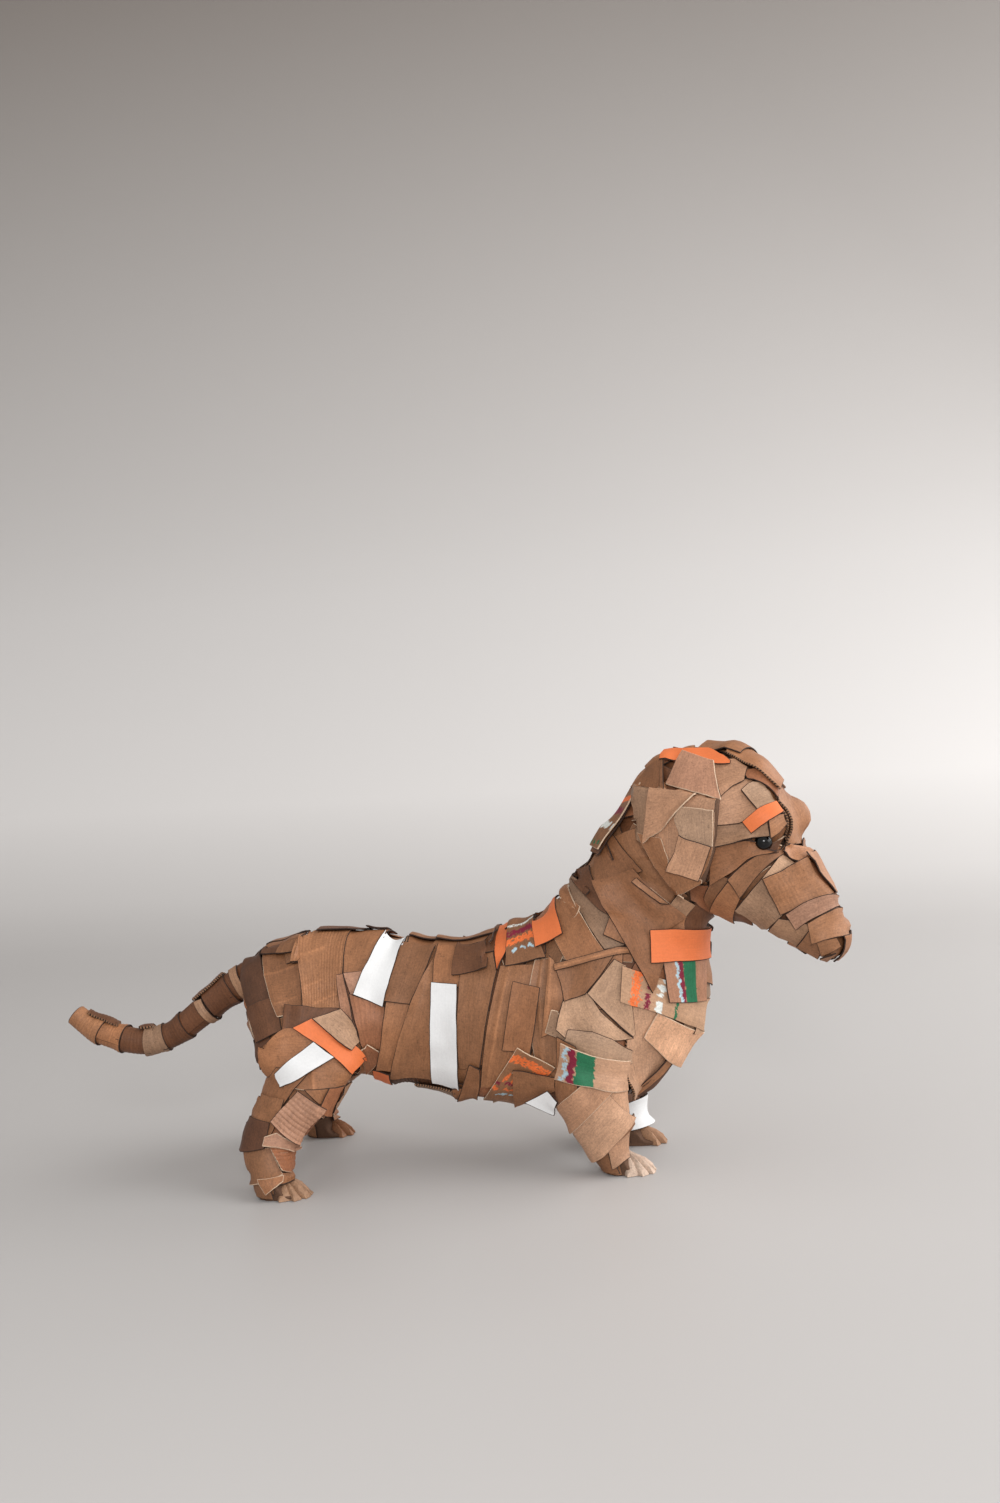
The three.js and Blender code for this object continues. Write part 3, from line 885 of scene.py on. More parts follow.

# ---------------------------------------------------------------- the sheets of the right side

# Each sheet is a tone and its rungs from one end to the other. Sheets are listed in the order that they
# were glued: a later one lies on an earlier one. A rung is two places as its view sees them: x and z
# from the side, y and z from the nose, x and y from above, with y counted outward. The views head, nose
# and crown see the head as if it weren't turned. A sheet in the view corners is flat, and has its four
# corners in space instead of rungs. The options, with lengths in millimetres:
# over, under: how far it runs on past its first and its last rung
# lift: how far it stands up at its first rung, the rungs' second ends, its last rung, their first ends
# arc: its rungs are joined on a curve
# flutes, depth, pitch: the way its flutes run, their height, and from one to the next
# creases: folds, each from one place to another in shares of its width and length, with a height
# edge: how its cut edge looks: dark with painted shade along it, pale with painted light along it, or
# fluted
# bridge, reach: how taut it spans steps, and from how far above the core it feels other sheets
# daubs, bars: its paint (colour, kind, where, size, raggedness), and the way the daubs run. The kinds
#     are a worn bar, broken blocks, a solid band and a row of blobs.
plan = []


def sheets(piece, view, rows, form="body"):
    """Adds sheets of one piece and view to the plan. Each row is a tone, rungs and any options."""
    for tone, *rungs in rows:
        options = rungs.pop() if isinstance(rungs[-1], dict) else {}
        plan.append({"piece": piece, "view": view, "form": form, "tone": tone, "rungs": rungs, **options})


def painted(piece, view, tone, *rungs, **options):
    """Adds one painted or printed strip, which is a piece of its own."""
    finish = f"{tone}_sheet" if tone in ("orange", "white") else "printed_sheet"
    sheets(piece, view, [(tone, *rungs, {"finish": finish, **options})])


sheets("haunch", "side", [
    # The first two sheets are darker for the shade on the haunch's back: painted shade.
    ("deep", (-166, 164, -149, 177), (-152, 131, -129, 143), {"over": 16}),
    ("deep", (-147, 120, -137, 127), (-139, 96, -124, 112), {"over": 6, "lift": (0, 0.8, 0, 0)}),
    ("dark", (-152, 135, -127, 147), (-142, 116, -122, 127), {"over": 8}),
    ("mid", (-149, 180, -112, 186), (-140, 161, -110, 165), (-126, 136, -105, 140),
     {"creases": [((0, 0.33), (1, 0.2), 0.5), ((0.1, 0.8), (0.8, 0.72), 0.3)], "flutes": "across",
      "depth": 0.1, "pitch": 2.8, "edge": "pale"}),
    ("dark", (-152, 188, -132, 193), (-148, 179, -132, 181), {"over": 6}),
    ("mid", (-133, 192, -112, 196), (-133, 180, -114, 183.5), {"over": 24, "lift": (0, 0, 0.9, 0)}),
    ("tan", (-77, 193, -45, 189), (-75, 164.5, -59, 166.5), {"over": 26, "lift": (0, 0, 0.4, 0.6)}),
    ("tan", (-118, 195, -76, 194), (-111, 165, -75, 166), (-105.5, 141.5, -76, 139),
     {"flutes": "along", "pitch": 2.6, "over": 26, "lift": (0, 0, 0.4, 1.2),
      "creases": [((0.1, 0.5), (0.55, 0.42), 0.3), ((0.1, 0.78), (0.5, 0.72), 0.3),
      ((0.3, 0.94), (0.9, 0.86), 0.3)]}),
    ("pink", (-75, 166, -59, 167.5), (-68.5, 148, -66, 148)),
    ("rust", (-70, 151, -41, 139), (-66, 128, -43, 126), (-62, 106, -48, 103),
     {"flutes": "along", "depth": 0.12}),
    ("pink", (-80, 165, -73.5, 165), (-77, 140, -68, 142), (-75, 131, -66, 129.5),
     {"lift": (0, 0.8, 0.5, 0)}),
    ("rust", (-63, 105, -57, 110.5), (-64, 84, -43.5, 98), {"lift": (0, 0.4, 0.9, 0), "edge": "pale"}),
    ("dark", (-120.5, 145.5, -77, 139.5), (-121, 125, -84, 133),
     {"creases": [((0.06, 0), (0.04, 1), 0.5)], "lift": (0.4, 0, 0.3, 0)}),
    ("tan", (-129, 120, -133, 98), (-117, 128, -124, 84), (-92, 124, -100, 96),
     {"over": 10, "arc": True}),
    ("tan", (-119, 84, -102, 105), (-98, 80.5, -86, 110), (-76, 79, -64, 99),
     {"creases": [((0.05, 0.45), (0.55, 0.3), 0.9)], "lift": (0, 0, 0, 0.7), "edge": "pale", "under": 5}),
])
sheets("flank", "side", [
    ("deep", (-50, 88, -48, 72), (-8, 86, -8, 62),
     {"under": 20, "edge": "fluted", "flutes": "across", "depth": 0.6}),
    ("tan", (-40, 144, -20.5, 141), (-48, 104, -34, 103), (-54, 89, -40, 86), {"lift": (0, 0, 0.9, 0.5)}),
    ("mid", (-31, 188, -1, 187), (-37, 165, -11, 162), (-43.5, 143, -21, 140),
     {"over": 26, "lift": (0, 0.5, 0.5, 0)}),
    ("tan", (-1.5, 181, 0, 176), (-12, 160, 2, 157), (-21, 140, 0, 137), (-32, 112, -3, 110),
     (-44, 80, -6, 77), {"lift": (0, 0, 1.0, 0.5)}),
    ("tan", (-1, 187, 15, 187), (-3, 171, 20.5, 171.5), (-2.5, 154, 19, 152),
     {"over": 24, "lift": (0, 0, 0, 0.4)}),
    ("mid", (20.5, 172, 47, 177), (19, 155, 50.5, 163), (16, 120, 42, 128), (14, 84, 33, 87.5),
     {"lift": (0, 1.0, 0, 0)}),
    ("dark", (14, 187, 47, 188.5), (15, 172.5, 47.5, 176), {"over": 32, "lift": (0, 0, 1.0, 0.5)}),
    ("grey", (-25, 74, -25, 66), (7, 69, 5, 58),
     {"lift": (0.6, 0, 0.6, 1.0), "under": 3, "edge": "fluted"}),
    ("tan", (53, 167, 82, 169), (45, 138, 74, 136), (38, 108, 66, 106), (30, 70, 50, 68),
     {"creases": [((0.26, 0), (0.3, 1), 0.9)], "lift": (0, 0, 0, 0.5)}),
    ("tan", (24.5, 91.5, 33, 87.5), (13, 66, 30, 70), (5, 55, 22, 51),
     {"under": 20, "lift": (0.9, 0, 0, 0.6)}),
    ("mid", (81, 171, 94, 174), (76, 150, 93, 148), (76, 108, 100, 108), (78, 84, 98, 88),
     {"creases": [((0.5, 0), (0.3, 1), 1.0)], "edge": "pale", "lift": (0, 0, 0, 0.8)}),
    ("tan", (93, 175, 98, 168), (90, 150, 103, 148), (84, 112, 101, 120),
     {"creases": [((0.2, 0), (0.2, 1), 0.6)]}),
    ("mid", (64, 155.5, 86, 151), (58, 130, 81, 127), (52, 102.5, 75, 99),
     {"lift": (0.5, 0.5, 0.8, 0.8)}),
    ("grey", (93.5, 134.5, 99, 133), (87.5, 116.5, 103, 109.5),
     {"edge": "pale", "lift": (0.3, 0, 0.5, 0.3)}),
])
# Its lightest sheets take fawn made lighter, where the light falls on the chest: painted light.
sheets("chest", "side", [
    ("tan", (148, 66, 152, 57), (164, 80, 169, 67), (184, 96, 188, 81),
     {"edge": "fluted", "lift": (0, 0.4, 0, 0)}),
    ("buff", (153, 142, 182, 130), (152, 112, 184, 100), (150, 76, 179.5, 88.5), (148, 59, 160, 66),
     {"edge": "fluted", "lift": (0, 0.8, 0, 0)}),
    ("deep", (149, 66, 152, 60), (166, 79, 170, 72), (187, 97, 191, 90), {"lift": (0, 0.9, 0, 0)}),
    ("tan", (150, 68, 152, 64), (166, 81, 168.5, 76), (187, 99, 189, 95), {"lift": (0, 1.0, 0, 0)}),
    ("grey", (113, 214, 119, 227), (124, 197, 143, 205), (137, 178, 155, 181), {"over": 20}),
    ("tan", (99, 214, 112, 217), (97, 186, 131, 186), (107, 170.5, 137, 177),
     {"over": 24, "lift": (0, 0, 0.4, 0.8), "edge": "pale"}),
    ("tan", (142.5, 203.5, 156, 184), (136.5, 189, 153.5, 181), {"lift": (0, 0, 0.8, 0.7)}),
    ("pale", (102, 141, 123, 147), (96, 119, 132, 132), (103, 112, 156, 108), {"lift": (0, 0, 0, 0.5)}),
    ("mid", (97, 168, 146, 176), (101, 154, 134, 160), (103.5, 140, 121, 145),
     {"lift": (0, 0, 0.8, 0.4)}),
    ("pale", (144, 171.5, 153, 166), (122, 146, 156, 137), (153, 109.5, 157, 111),
     {"lift": (0.5, 0, 0.4, 1.0)}),
    ("pale", (105.5, 119, 102, 104), (125, 117.5, 124, 92), (140, 111, 140, 88), (154.5, 99, 153.5, 88),
     {"lift": (0, 0.3, 0, 0.3)}),
    ("tan", (97, 168.5, 97.5, 163), (126, 175.5, 126, 170), (148, 180.5, 149, 174.5),
     (157, 180, 158, 175), {"lift": (0.3, 0, 0, 0.3), "creases": [((0.5, 0), (0.5, 1), 0.2)]}),
    ("buff", (175, 127.5, 206, 105), (162.5, 108, 185, 80.5),
     {"lift": (0.3, 0.4, 0.8, 0.4), "edge": "pale"}),
])
sheets("neck", "side", [
    ("dark", (197, 209, 222, 209), (197, 190, 218, 184), {"under": 4}),
    ("dark", (113, 228, 131, 228), (134, 208, 143, 203), {"over": 20}),
    ("tan", (145, 264, 168, 270), (150, 246, 176, 250), (163, 231, 188, 232), (186, 209, 204, 214),
     {"arc": True}),
    ("mid", (161, 227.5, 166, 231.5), (184, 205.5, 189.5, 209.5),
     {"edge": "pale", "lift": (0.6, 0, 0, 0.4)}),
    ("grey", (195, 217, 208, 207.5), (187, 208.5, 199, 197.5), {"lift": (0, 0, 0.5, 0)}),
    ("mid", (128, 252, 150, 260), (132, 225, 170, 236), {"over": 20}),
    ("tan", (174, 215, 199, 199), (184, 190, 198, 188)),
])
painted("printed_chest_strip_card", "side", "pale", (150, 166, 146.5, 138.5), (183, 152, 175, 127),
    (210, 133, 200, 112), (218, 126, 208, 103), under=8, bars="across", lift=(0.6, 0, 0, 0.4),
    daubs=[("orange", "blocks", 15, 9, 4), ("crimson", "blocks", 28, 5, 2), ("white", "blob", 40, 7, 2),
    ("green", "blocks", 58, 3, 2)])
painted("printed_neck_strip_card", "side", "pink", (181, 167, 213, 163), (183, 137, 212, 132), under=3,
    lift=(0, 0, 0.4, 0.6), daubs=[("blue", "bar", 14, 3.4, 2.5), ("crimson", "solid", 17.8, 4.6, 1.6),
    ("green", "solid", 26, 11, 0.8)])
sheets("neck", "side", [
    ("mid", (131, 228, 163, 238), (137, 210, 176, 221), (143, 201.5, 199, 199), (156, 176, 186, 190),
     (166, 156, 182, 166), (171.5, 142.5, 175, 148), {"lift": (0, 0, 0, 0.7)}),
    ("tan", (160, 227.5, 164.5, 231), (180, 210, 187.5, 209.5), {"lift": (0.4, 0, 0.3, 0.4)}),
])
sheets("neck", "corners", [
    ("dark", (172, -20.5, 300.5), (163.5, -3, 295), (133, -5, 247), (138, -22.5, 247),
     {"right_only": True}),
    ("mid", (174.5, -22, 303), (165.5, -4, 298), (135, -5, 250.5), (140, -24, 250),
     {"right_only": True, "edge": "pale", "bars": "across", "daubs": [("orange", "solid", 13, 5, 3),
      ("crimson", "blob", 24, 7, 4), ("white", "blob", 38, 7, 3), ("green", "blocks", 56, 4, 3)]}),
])
sheets("jaw", "head", [
    ("rust", (218, 226, 214, 212), (236, 226, 233, 200), {"under": 10}),
    ("dark", (250, 216, 240, 200), (264, 214, 262, 193)),
    ("mid", (229, 217, 229, 206), (242, 235, 256, 230), {"lift": (0, 0.5, 0, 0.5)}),
    ("tan", (254, 232, 231, 209), (260, 217, 247, 198), {"lift": (0, 0.3, 0, 0.3)}),
])
sheets("face", "side", [
    ("grey", (241, 209, 263, 232), (262, 187, 285, 210)),
    ("grey", (265, 189, 272, 199), (284, 174, 296, 192)),
    ("mid", (284, 175, 295, 191), (299, 163, 305, 182)),
    ("pale", (260, 229, 275, 247), (272, 218, 290, 234)),
    ("mid", (236, 232, 245, 217), (250, 243, 258, 232), (263, 249, 270, 242), (275, 250, 276, 246),
     {"lift": (0.4, 0.3, 0, 0.3), "arc": True}),
    ("mid", (222, 256, 224, 228), (240, 257, 240, 236), (251, 258.8, 252, 245),
     (256.6, 258.7, 257, 246.5), (262.2, 251.9, 263, 247), (271, 249, 272, 247.6),
     {"lift": (0, 0.5, 0, 1.2)}),
    ("grey", (224, 272, 226, 254), (248, 272, 244, 257), (262, 273, 256.5, 261.3), (267, 273, 268, 261.6),
     {"lift": (0, 1.8, 0, 0)}),
    ("fawn", (229, 292, 228, 270), (239, 300, 238, 270.5), (248, 305, 247, 271), (256, 306, 256, 276),
     (265, 301, 263, 280)),
    ("tan", (267, 274, 267.6, 261.2), (274, 277, 275.5, 264), (280, 278, 281.5, 269),
     {"lift": (0.6, 1.6, 0.8, 0)}),
    ("pale", (248, 296, 260, 280), (256, 302, 267, 284), (265, 301, 275, 286),
     {"lift": (0.8, 0, 0, 0), "arc": True}),
])
sheets("brow", "nose", [
    ("tan", (4, 307, -12, 307), (9, 300, -16, 300), (17, 288, -20, 290), (23, 278, -24, 278),
     (23, 269, -24, 269), (18, 261, -17, 260), (17, 252, -15, 251),
     {"bridge": 2, "reach": 5, "lift": (0, 0, 0, 0.5), "edge": "fluted"}),
])
sheets("brow", "side", [
    ("rust", (250, 312, 254, 304.5), (264, 309.5, 263, 300), (271, 302, 271, 292.5),
     (276.5, 294, 275, 286), {"arc": True}),
])
sheets("muzzle", "nose", [
    ("tan", (26, 248.5, 16, 254), (16, 237, -12, 240), {"lift": (0, 0, 0, 0.9)}),
])
sheets("muzzle", "side", [
    ("tan", (260.5, 229.5, 273, 200.5), (276, 235, 292, 207), (292, 239, 312, 212.5),
     {"flutes": "across", "depth": 0.1, "lift": (0.7, 0.3, 0, 0.3)}),
    ("pink", (276.5, 201.5, 284, 188.5), (290, 209, 293, 195), (303, 212.5, 305, 200),
     (313, 211.5, 314, 203), (318, 209, 320.5, 202.5), {"under": 24, "arc": True}),
    ("tan", (298, 181, 301, 167), (313, 182, 317, 174)),
    ("tan", (301, 167.5, 300, 162.5), (312, 172, 306, 160), {"lift": (0, 0, 0, 0.8)}),
    ("tan", (292, 193.5, 296, 178.5), (303, 199, 304, 181), (313, 203, 313.5, 182), (322, 202, 327, 181),
     {"under": 16, "lift": (0.5, 0.5, 0, 0)}),
])
sheets("muzzle", "nose", [
    ("tan", (14, 183, -16, 183), (12, 174, -17, 173), (6, 160, -8, 160), {"lift": (0, 0, 0, 1.0)}),
    ("tan", (10.3, 241, -10, 241), (9.2, 227, -10, 227), (5.5, 212, -10, 212), {"lift": (0, 0, 0, 1.2)}),
])
sheets("crown", "head", [
    ("fawn", (239, 319, 248.5, 291), (253, 319, 256, 299), (264, 312, 264, 303),
     {"lift": (0.3, 0, 0, 0)}),
])
sheets("crown", "crown", [
    ("tan", (246, -9.5, 246, 16), (262, -12, 262, 17), (273, -9.5, 273, 15), (283, -2, 284, 12),
     {"lift": (0, 0, 0, 0.8), "edge": "fluted"}),
    ("tan", (222, -10, 222, 16), (242, -12, 242, 14), (258, -19, 256, 12), {"lift": (0, 0, 0, 0.6)}),
])
sheets("hind_leg", "side", [
    ("mid", (-128, 91, -106, 85), (-142, 67, -121, 67), {"over": 12}),
    ("mid", (-143, 70, -119, 69), (-155, 49.5, -130, 46.5), {"over": 6}),
    ("mid", (-102, 82, -82, 82), (-92, 70, -84, 68)),
    ("rust", (-86, 80, -75, 79), (-94, 65, -87, 58), {"over": 3, "lift": (0, 0, 0.5, 0.5)}),
    ("mid", (-148, 17, -129, 18), (-146, 3, -126, 3)),
    ("tan", (-123, 22, -110, 20), (-123, 14, -110, 15)),
    ("mid", (-154, 39, -129, 40.5), (-150, 10, -119, 19.5), {"edge": "pale", "lift": (0, 0, 1.0, 0)}),
    ("rust", (-129.5, 41, -111, 39), (-120.5, 22.5, -111, 18.5),
     {"flutes": "across", "depth": 0.34, "lift": (0, 0, 0.5, 0.6), "edge": "pale"}),
    ("tan", (-137, 17.5, -119, 19), (-131, 8, -118, 14.5), {"edge": "pale", "lift": (0, 0.2, 0.6, 0.6)}),
    ("deep", (-155, 52, -131, 48.5), (-160, 34, -133, 39.5), {"over": 10, "lift": (0, 0, 0.9, 0)}),
    ("pink", (-133, 48, -134, 41), (-124, 51, -124, 40), (-115, 45, -117, 37.5), (-109, 40, -112, 33),
     {"lift": (0.3, 0.8, 0, 0), "edge": "pale"}),
    ("pink", (-106.5, 81.5, -88, 67), (-128, 58, -110, 40),
     {"flutes": "across", "depth": 0.3, "pitch": 3.8, "lift": (0, 0, 0.6, 0.6)}),
])
# Its lightest sheets take fawn made lighter, where the light falls on the leg: painted light.
sheets("front_leg", "side", [
    ("tan", (96, 108, 112, 100), (93, 54, 112, 60), {"over": 6}),
    ("buff", (132, 74, 149, 71), (138, 50, 146, 49), {"over": 3}),
    ("mid", (115, 24, 130, 24), (121, 3, 139, 3)),
    ("fawn", (126, 44, 148, 46), (133, 7.5, 148, 15.5), {"lift": (0, 0, 0, 0.5)}),
    ("mid", (138, 50, 149, 47), (139, 31, 149, 38)),
    ("buff", (133.5, 72, 148, 45), (103, 36, 128, 19), (98.5, 28, 117, 11), {"lift": (0, 0.4, 0.4, 0)}),
    ("fawn", (116, 79, 137, 72), (94, 57, 102, 34),
     {"edge": "pale", "lift": (0, 0.4, 0, 0.3), "under": 10}),
])


def ear_sheets(piece, form):
    """The patches of one ear flap, from its bottom layer up. Their fawn and pale tones are lighter for the
    light that falls on the ear: painted light.
    """
    sheets(piece, "head", [
        ("tan", (182, 303, 248, 292), (180, 284, 247, 282), (183, 262, 246.5, 266), (188, 251, 244, 252),
         (198, 238, 239, 240), (209, 224, 229, 225.5), (213.5, 219, 217, 219.5), {"edge": "pale"}),
        ("grey", (181, 303, 196, 301), (181, 262, 193, 256)),
        ("fawn", (231, 298, 249, 294), (221, 283, 247.5, 281)),
        ("fawn", (196, 268, 222, 286), (192, 252, 222, 258), (200, 240, 214, 240)),
        ("pale", (221, 285, 247, 282.5), (216, 277, 246.5, 270), (222, 262, 244.5, 255),
         {"edge": "pale"}),
        ("tan", (185, 266, 205, 262), (196, 246, 212, 240), (205, 230, 236, 229),
         (213.5, 219, 218, 219.5), {"lift": (0, 0, 0, 0.7), "edge": "pale"}),
        ("fawn", (194, 302, 191.5, 259), (212, 300, 205, 267), (233, 295, 232, 293),
         {"edge": "pale", "lift": (0.3, 0.4, 0, 0)}),
        ("fawn", (221, 264.5, 244, 255.5), (208, 238.5, 232, 229.5), {"lift": (0, 0.5, 0.5, 0)}),
    ], form)


ear_sheets("right_ear_patches", "right_ear")
sheets("crown", "head", [
    ("mid", (183, 315, 200, 321), (173, 298.5, 208, 293), {"bridge": 12, "lift": (0, 0, 0.3, 0)}),
])
painted("orange_thigh_band_strip", "side", "orange", (-112, 127.5, -97, 134.5), (-95, 117, -82, 126),
    (-84, 108, -71, 118), (-75.5, 98.5, -65, 108.5), (-69.5, 89, -61.5, 98.5), arc=True)
painted("white_thigh_patch_strip", "side", "white", (-122, 96, -118.5, 82), (-109, 107.5, -100, 93),
    (-95, 117.5, -79.5, 104), arc=True)
sheets("haunch", "side", [
    ("pale", (-97.5, 133.5, -76, 139), (-83, 120.5, -66, 130), (-69, 106.5, -63, 113),
     {"lift": (0, 0, 0.4, 0.3)}),
])
painted("white_loin_band_strip", "side", "white", (-45, 192.5, -28, 190.5), (-51, 183.5, -31, 180),
    (-60, 166, -36.5, 162), (-66.5, 149.5, -42, 138.5), over=5)
painted("white_flank_band_strip", "side", "white", (-3.5, 156.5, 18, 154.5), (-6, 115, 16.5, 113),
    (-9, 76, 13, 68.5), lift=(0.4, 0, 0.3, 0.5))
painted("orange_belly_strip_card", "side", "orange", (-57, 88.5, -60, 77), (-42, 86, -44, 74))
painted("orange_withers_strip_card", "side", "orange", (46.5, 189, 60, 190), (47.5, 176, 56.5, 175),
    (51, 164, 52, 163.5), over=14)
painted("printed_withers_strip_card", "side", "mid", (57, 190, 78, 199), (57.5, 165.5, 91, 173), over=16,
    bars="across", daubs=[("white", "bar", 8, 1.8, 1.2), ("crimson", "bar", 14, 4.5, 2.4),
    ("orange", "bar", 21, 6, 2.4), ("blue", "blob", 31, 4, 3)])
painted("orange_saddle_band_strip", "side", "orange", (77, 199, 99, 211), (82.5, 179, 105, 190), over=14)
painted("printed_elbow_strip_card", "side", "tan", (65, 105.5, 94, 88.5), (46, 79, 76, 70),
    (26, 51, 56, 46), under=6, bars="across", edge="pale", lift=(0.3, 0, 0, 0.4),
    daubs=[("orange", "bar", 11, 10, 2), ("white", "blob", 25, 3, 2), ("orange", "blocks", 32, 8, 3),
    ("crimson", "blocks", 40, 4, 3), ("orange", "blob", 47, 4, 3), ("blue", "blob", 55, 3, 3)])
sheets("flank", "side", [
    ("tan", (59.5, 87, 94, 81), (57, 67, 93, 70), (54, 48, 66, 56), {"lift": (0.4, 0, 0.5, 0.5)}),
])
painted("white_elbow_strip_card", "corners", "white", (66, -45, 58.5), (86, -46, 68), (95, -49, 60),
    (90, -50, 49), right_only=True)
painted("orange_collar_strip_card", "side", "orange", (172.5, 191.5, 171.5, 166), (192, 190.5, 191, 165),
    (216, 186, 214, 161.5), under=5)
# The band's ground is fawn made lighter, for the light on the leg: painted light.
painted("printed_arm_band_strip", "side", "buff", (100.5, 109, 96, 80), (124, 99.5, 121, 76),
    (151, 92.5, 147.5, 69), bars="across", edge="pale", lift=(0, 0.3, 0, 0.4),
    daubs=[("blue", "bar", 6, 3.6, 4), ("crimson", "solid", 11, 6, 4), ("green", "solid", 23, 16, 3)])
sheets("ridge", "top", [
    ("mid", (-150, -16, -150, 0), (-116, -16, -116, 0)),
    ("mid", (-27, -16, -27, 8), (-4, -16, -2, 8), {"lift": (0, 0.4, 0, 0)}),
    ("tan", (-6, -16, -4, 9), (44, -16, 45, 8), {"lift": (0, 0.4, 0, 0)}),
    ("dark", (-106, -16, -104, 10), (-62, -16, -64, 7), {"lift": (0, 0.8, 0, 0)}),
    ("mid", (-66, -16, -64, 5), (-47, -16, -46, 5), {"lift": (0, 0.7, 0, 0)}),
])
painted("orange_brow_strip_card", "side", "orange", (249, 272.5, 255, 264.5), (261, 281, 267, 272),
    (274, 286, 278.5, 278), arc=True, bridge=14, reach=8)
painted("orange_crown_strip_card", "head", "orange", (195.5, 325.5, 197.5, 318), (205, 328.5, 206, 318.5),
    (215, 329, 216, 319), (232, 328, 236, 317), (244, 322.5, 246, 315.5), (252, 316.5, 252, 315),
    arc=True)
sheets("crown", "head", [
    ("pink", (213.5, 326, 240.5, 318), (205.5, 301.5, 249.5, 288),
     {"reach": 16, "bridge": 16, "edge": "pale", "lift": (0, 0.3, 0.5, 0.3)}),
])

# ---------------------------------------------------------------- laying the right side, then the left

# How much further ahead the left legs stand than the right ones. The front one is as much further out.
HIND_STEP, FRONT_STEP = -8, 6
LEFT_STEP = {"front_leg": FRONT_STEP, "hind_leg": HIND_STEP}
OUT_OF_TRUE = 2  # the most that a left sheet's corner is moved, in millimetres
FACE_LOW, HAUNCH_FRONT, FLANK_FRONT = 262, -60, 90  # where the plain side's pieces end


def side_of(sheet, side):
    """A planned sheet on one side: the left one is plain kraft and a little out of true."""
    if side < 0:
        return {"finish": "kraft_sheet", **sheet, "side": side}
    step = LEFT_STEP.get(sheet["piece"], 0)
    home = home_of(sheet) if "finish" in sheet else sheet["piece"]

    def moved(k, value):
        return value + random.uniform(-OUT_OF_TRUE, OUT_OF_TRUE) + (0 if k % 2 else step)

    return {
        **sheet,
        "side": side,
        "finish": "kraft_sheet",
        "daubs": (),
        "tone": random.choice(KRAFT_TONES),
        "form": sheet["form"].replace("right", "left"),
        "piece": home.replace("right", "left"),
        "rungs": [tuple(moved(k, v) for k, v in enumerate(rung)) for rung in sheet["rungs"]],
    }


def home_of(sheet):
    """The piece that a painted strip's place belongs to on the plain side."""
    if sheet["rungs"][0][1] > FACE_LOW:
        return "face"
    x = sum(r[0] for r in sheet["rungs"]) / len(sheet["rungs"])
    return "haunch" if x < HAUNCH_FRONT else "flank" if x < FLANK_FRONT else "chest"


# The limbs' middle lines (from, to, about how thick), which the small sheets are wrapped across.
LIMBS = [((-150, 0, 140), (110, 0, 135), 55), ((150, 0, 130), (190, 0, 290), 45)]
for y in (-1, 1):
    hind, fore = (HIND_STEP, FRONT_STEP) if y > 0 else (0, 0)
    LIMBS += [
        ((-112, y * 42, 140), (-108, y * 56, 76), 26),
        ((-106 + hind, y * 58, 76), (-132 + hind, y * 72, 42), 20),
        ((-134 + hind, y * 75, 42), (-130 + hind, y * 84, 8), 18),
        ((125, y * 36, 120), (120 + fore, y * 43, 60), 25),
        ((122 + fore, y * (42 + fore), 55), (135 + fore, y * (37 + fore), 10), 18),
    ]
LIMBS = [(straight(a), straight(b), thick) for a, b, thick in LIMBS]
LIMBS.append((turned((225, 0, 265)), turned((328, 0, 176)), 36))


def limb_at(spot):
    """The way and thickness of the limb that a spot lies on."""
    best = None
    for a, b, thick in LIMBS:
        way = b - a
        share = max(0, min(1, (spot - a).dot(way) / way.length_squared))
        far = (spot - (a + way * share)).length / thick
        if best is None or far < best[0]:
            best = (far, way.normalized(), thick)
    return best[1], best[2]


SPACING = (9, 0.15)  # how far apart small sheets lie, and how much it grows with the limb's thickness
COVER = 4 * MM  # how deep under the core's face a planned sheet still counts as over it


def bare_places(covered):
    """Spots of the core that no planned sheet covers, some way apart."""
    faces = [(f.center.copy(), f.normal.copy()) for f in core.data.polygons]
    random.shuffle(faces)
    chosen = []
    for spot, normal in faces:
        if spot.x < TAIL_ROOT or spot.z < SHANK_TOP:
            continue
        hit, _, _, _ = covered.ray_cast(spot + normal * REACH, -normal, REACH + COVER)
        if hit is not None:
            continue
        _, thick = limb_at(spot)
        apart = (SPACING[0] + thick * SPACING[1]) * MM
        if any((spot - eye).length < EYE_CLEAR for eye in EYES):
            continue
        if all((spot - other).length > apart for other, _ in chosen):
            chosen.append((spot, normal))
    return chosen


WRAPS_TOP = 78
HIND_WRAPS_FRONT, FRONT_WRAPS_BACK, FRONT_WRAPS_INNER = -40, 80, 20
HEAD_LOW, HEAD_BACK = 195, 150
UNDER_HAUNCH_FRONT, UNDER_FLANK_FRONT = -50, 95


def piece_at(spot):
    """The piece that a small sheet at a spot belongs to."""
    x, y, z = spot / MM
    if z < WRAPS_TOP and x < HIND_WRAPS_FRONT:
        return "hind_leg_wraps"
    if z < WRAPS_TOP and x > FRONT_WRAPS_BACK and abs(y) > FRONT_WRAPS_INNER:
        return "front_leg_wraps"
    if z > HEAD_LOW and x > HEAD_BACK:
        return "head_underlay"
    if x < UNDER_HAUNCH_FRONT:
        return "haunch_underlay"
    return "flank_underlay" if x < UNDER_FLANK_FRONT else "chest_underlay"


# A small sheet's least and greatest length and width, and how much they grow with the limb's thickness.
LENGTHS = ((26, 0.3), (34, 0.8))
WIDTHS = ((13, 0.08), (17, 0.25))
SLANT = 0.5  # the most that it is turned from straight across, in radians


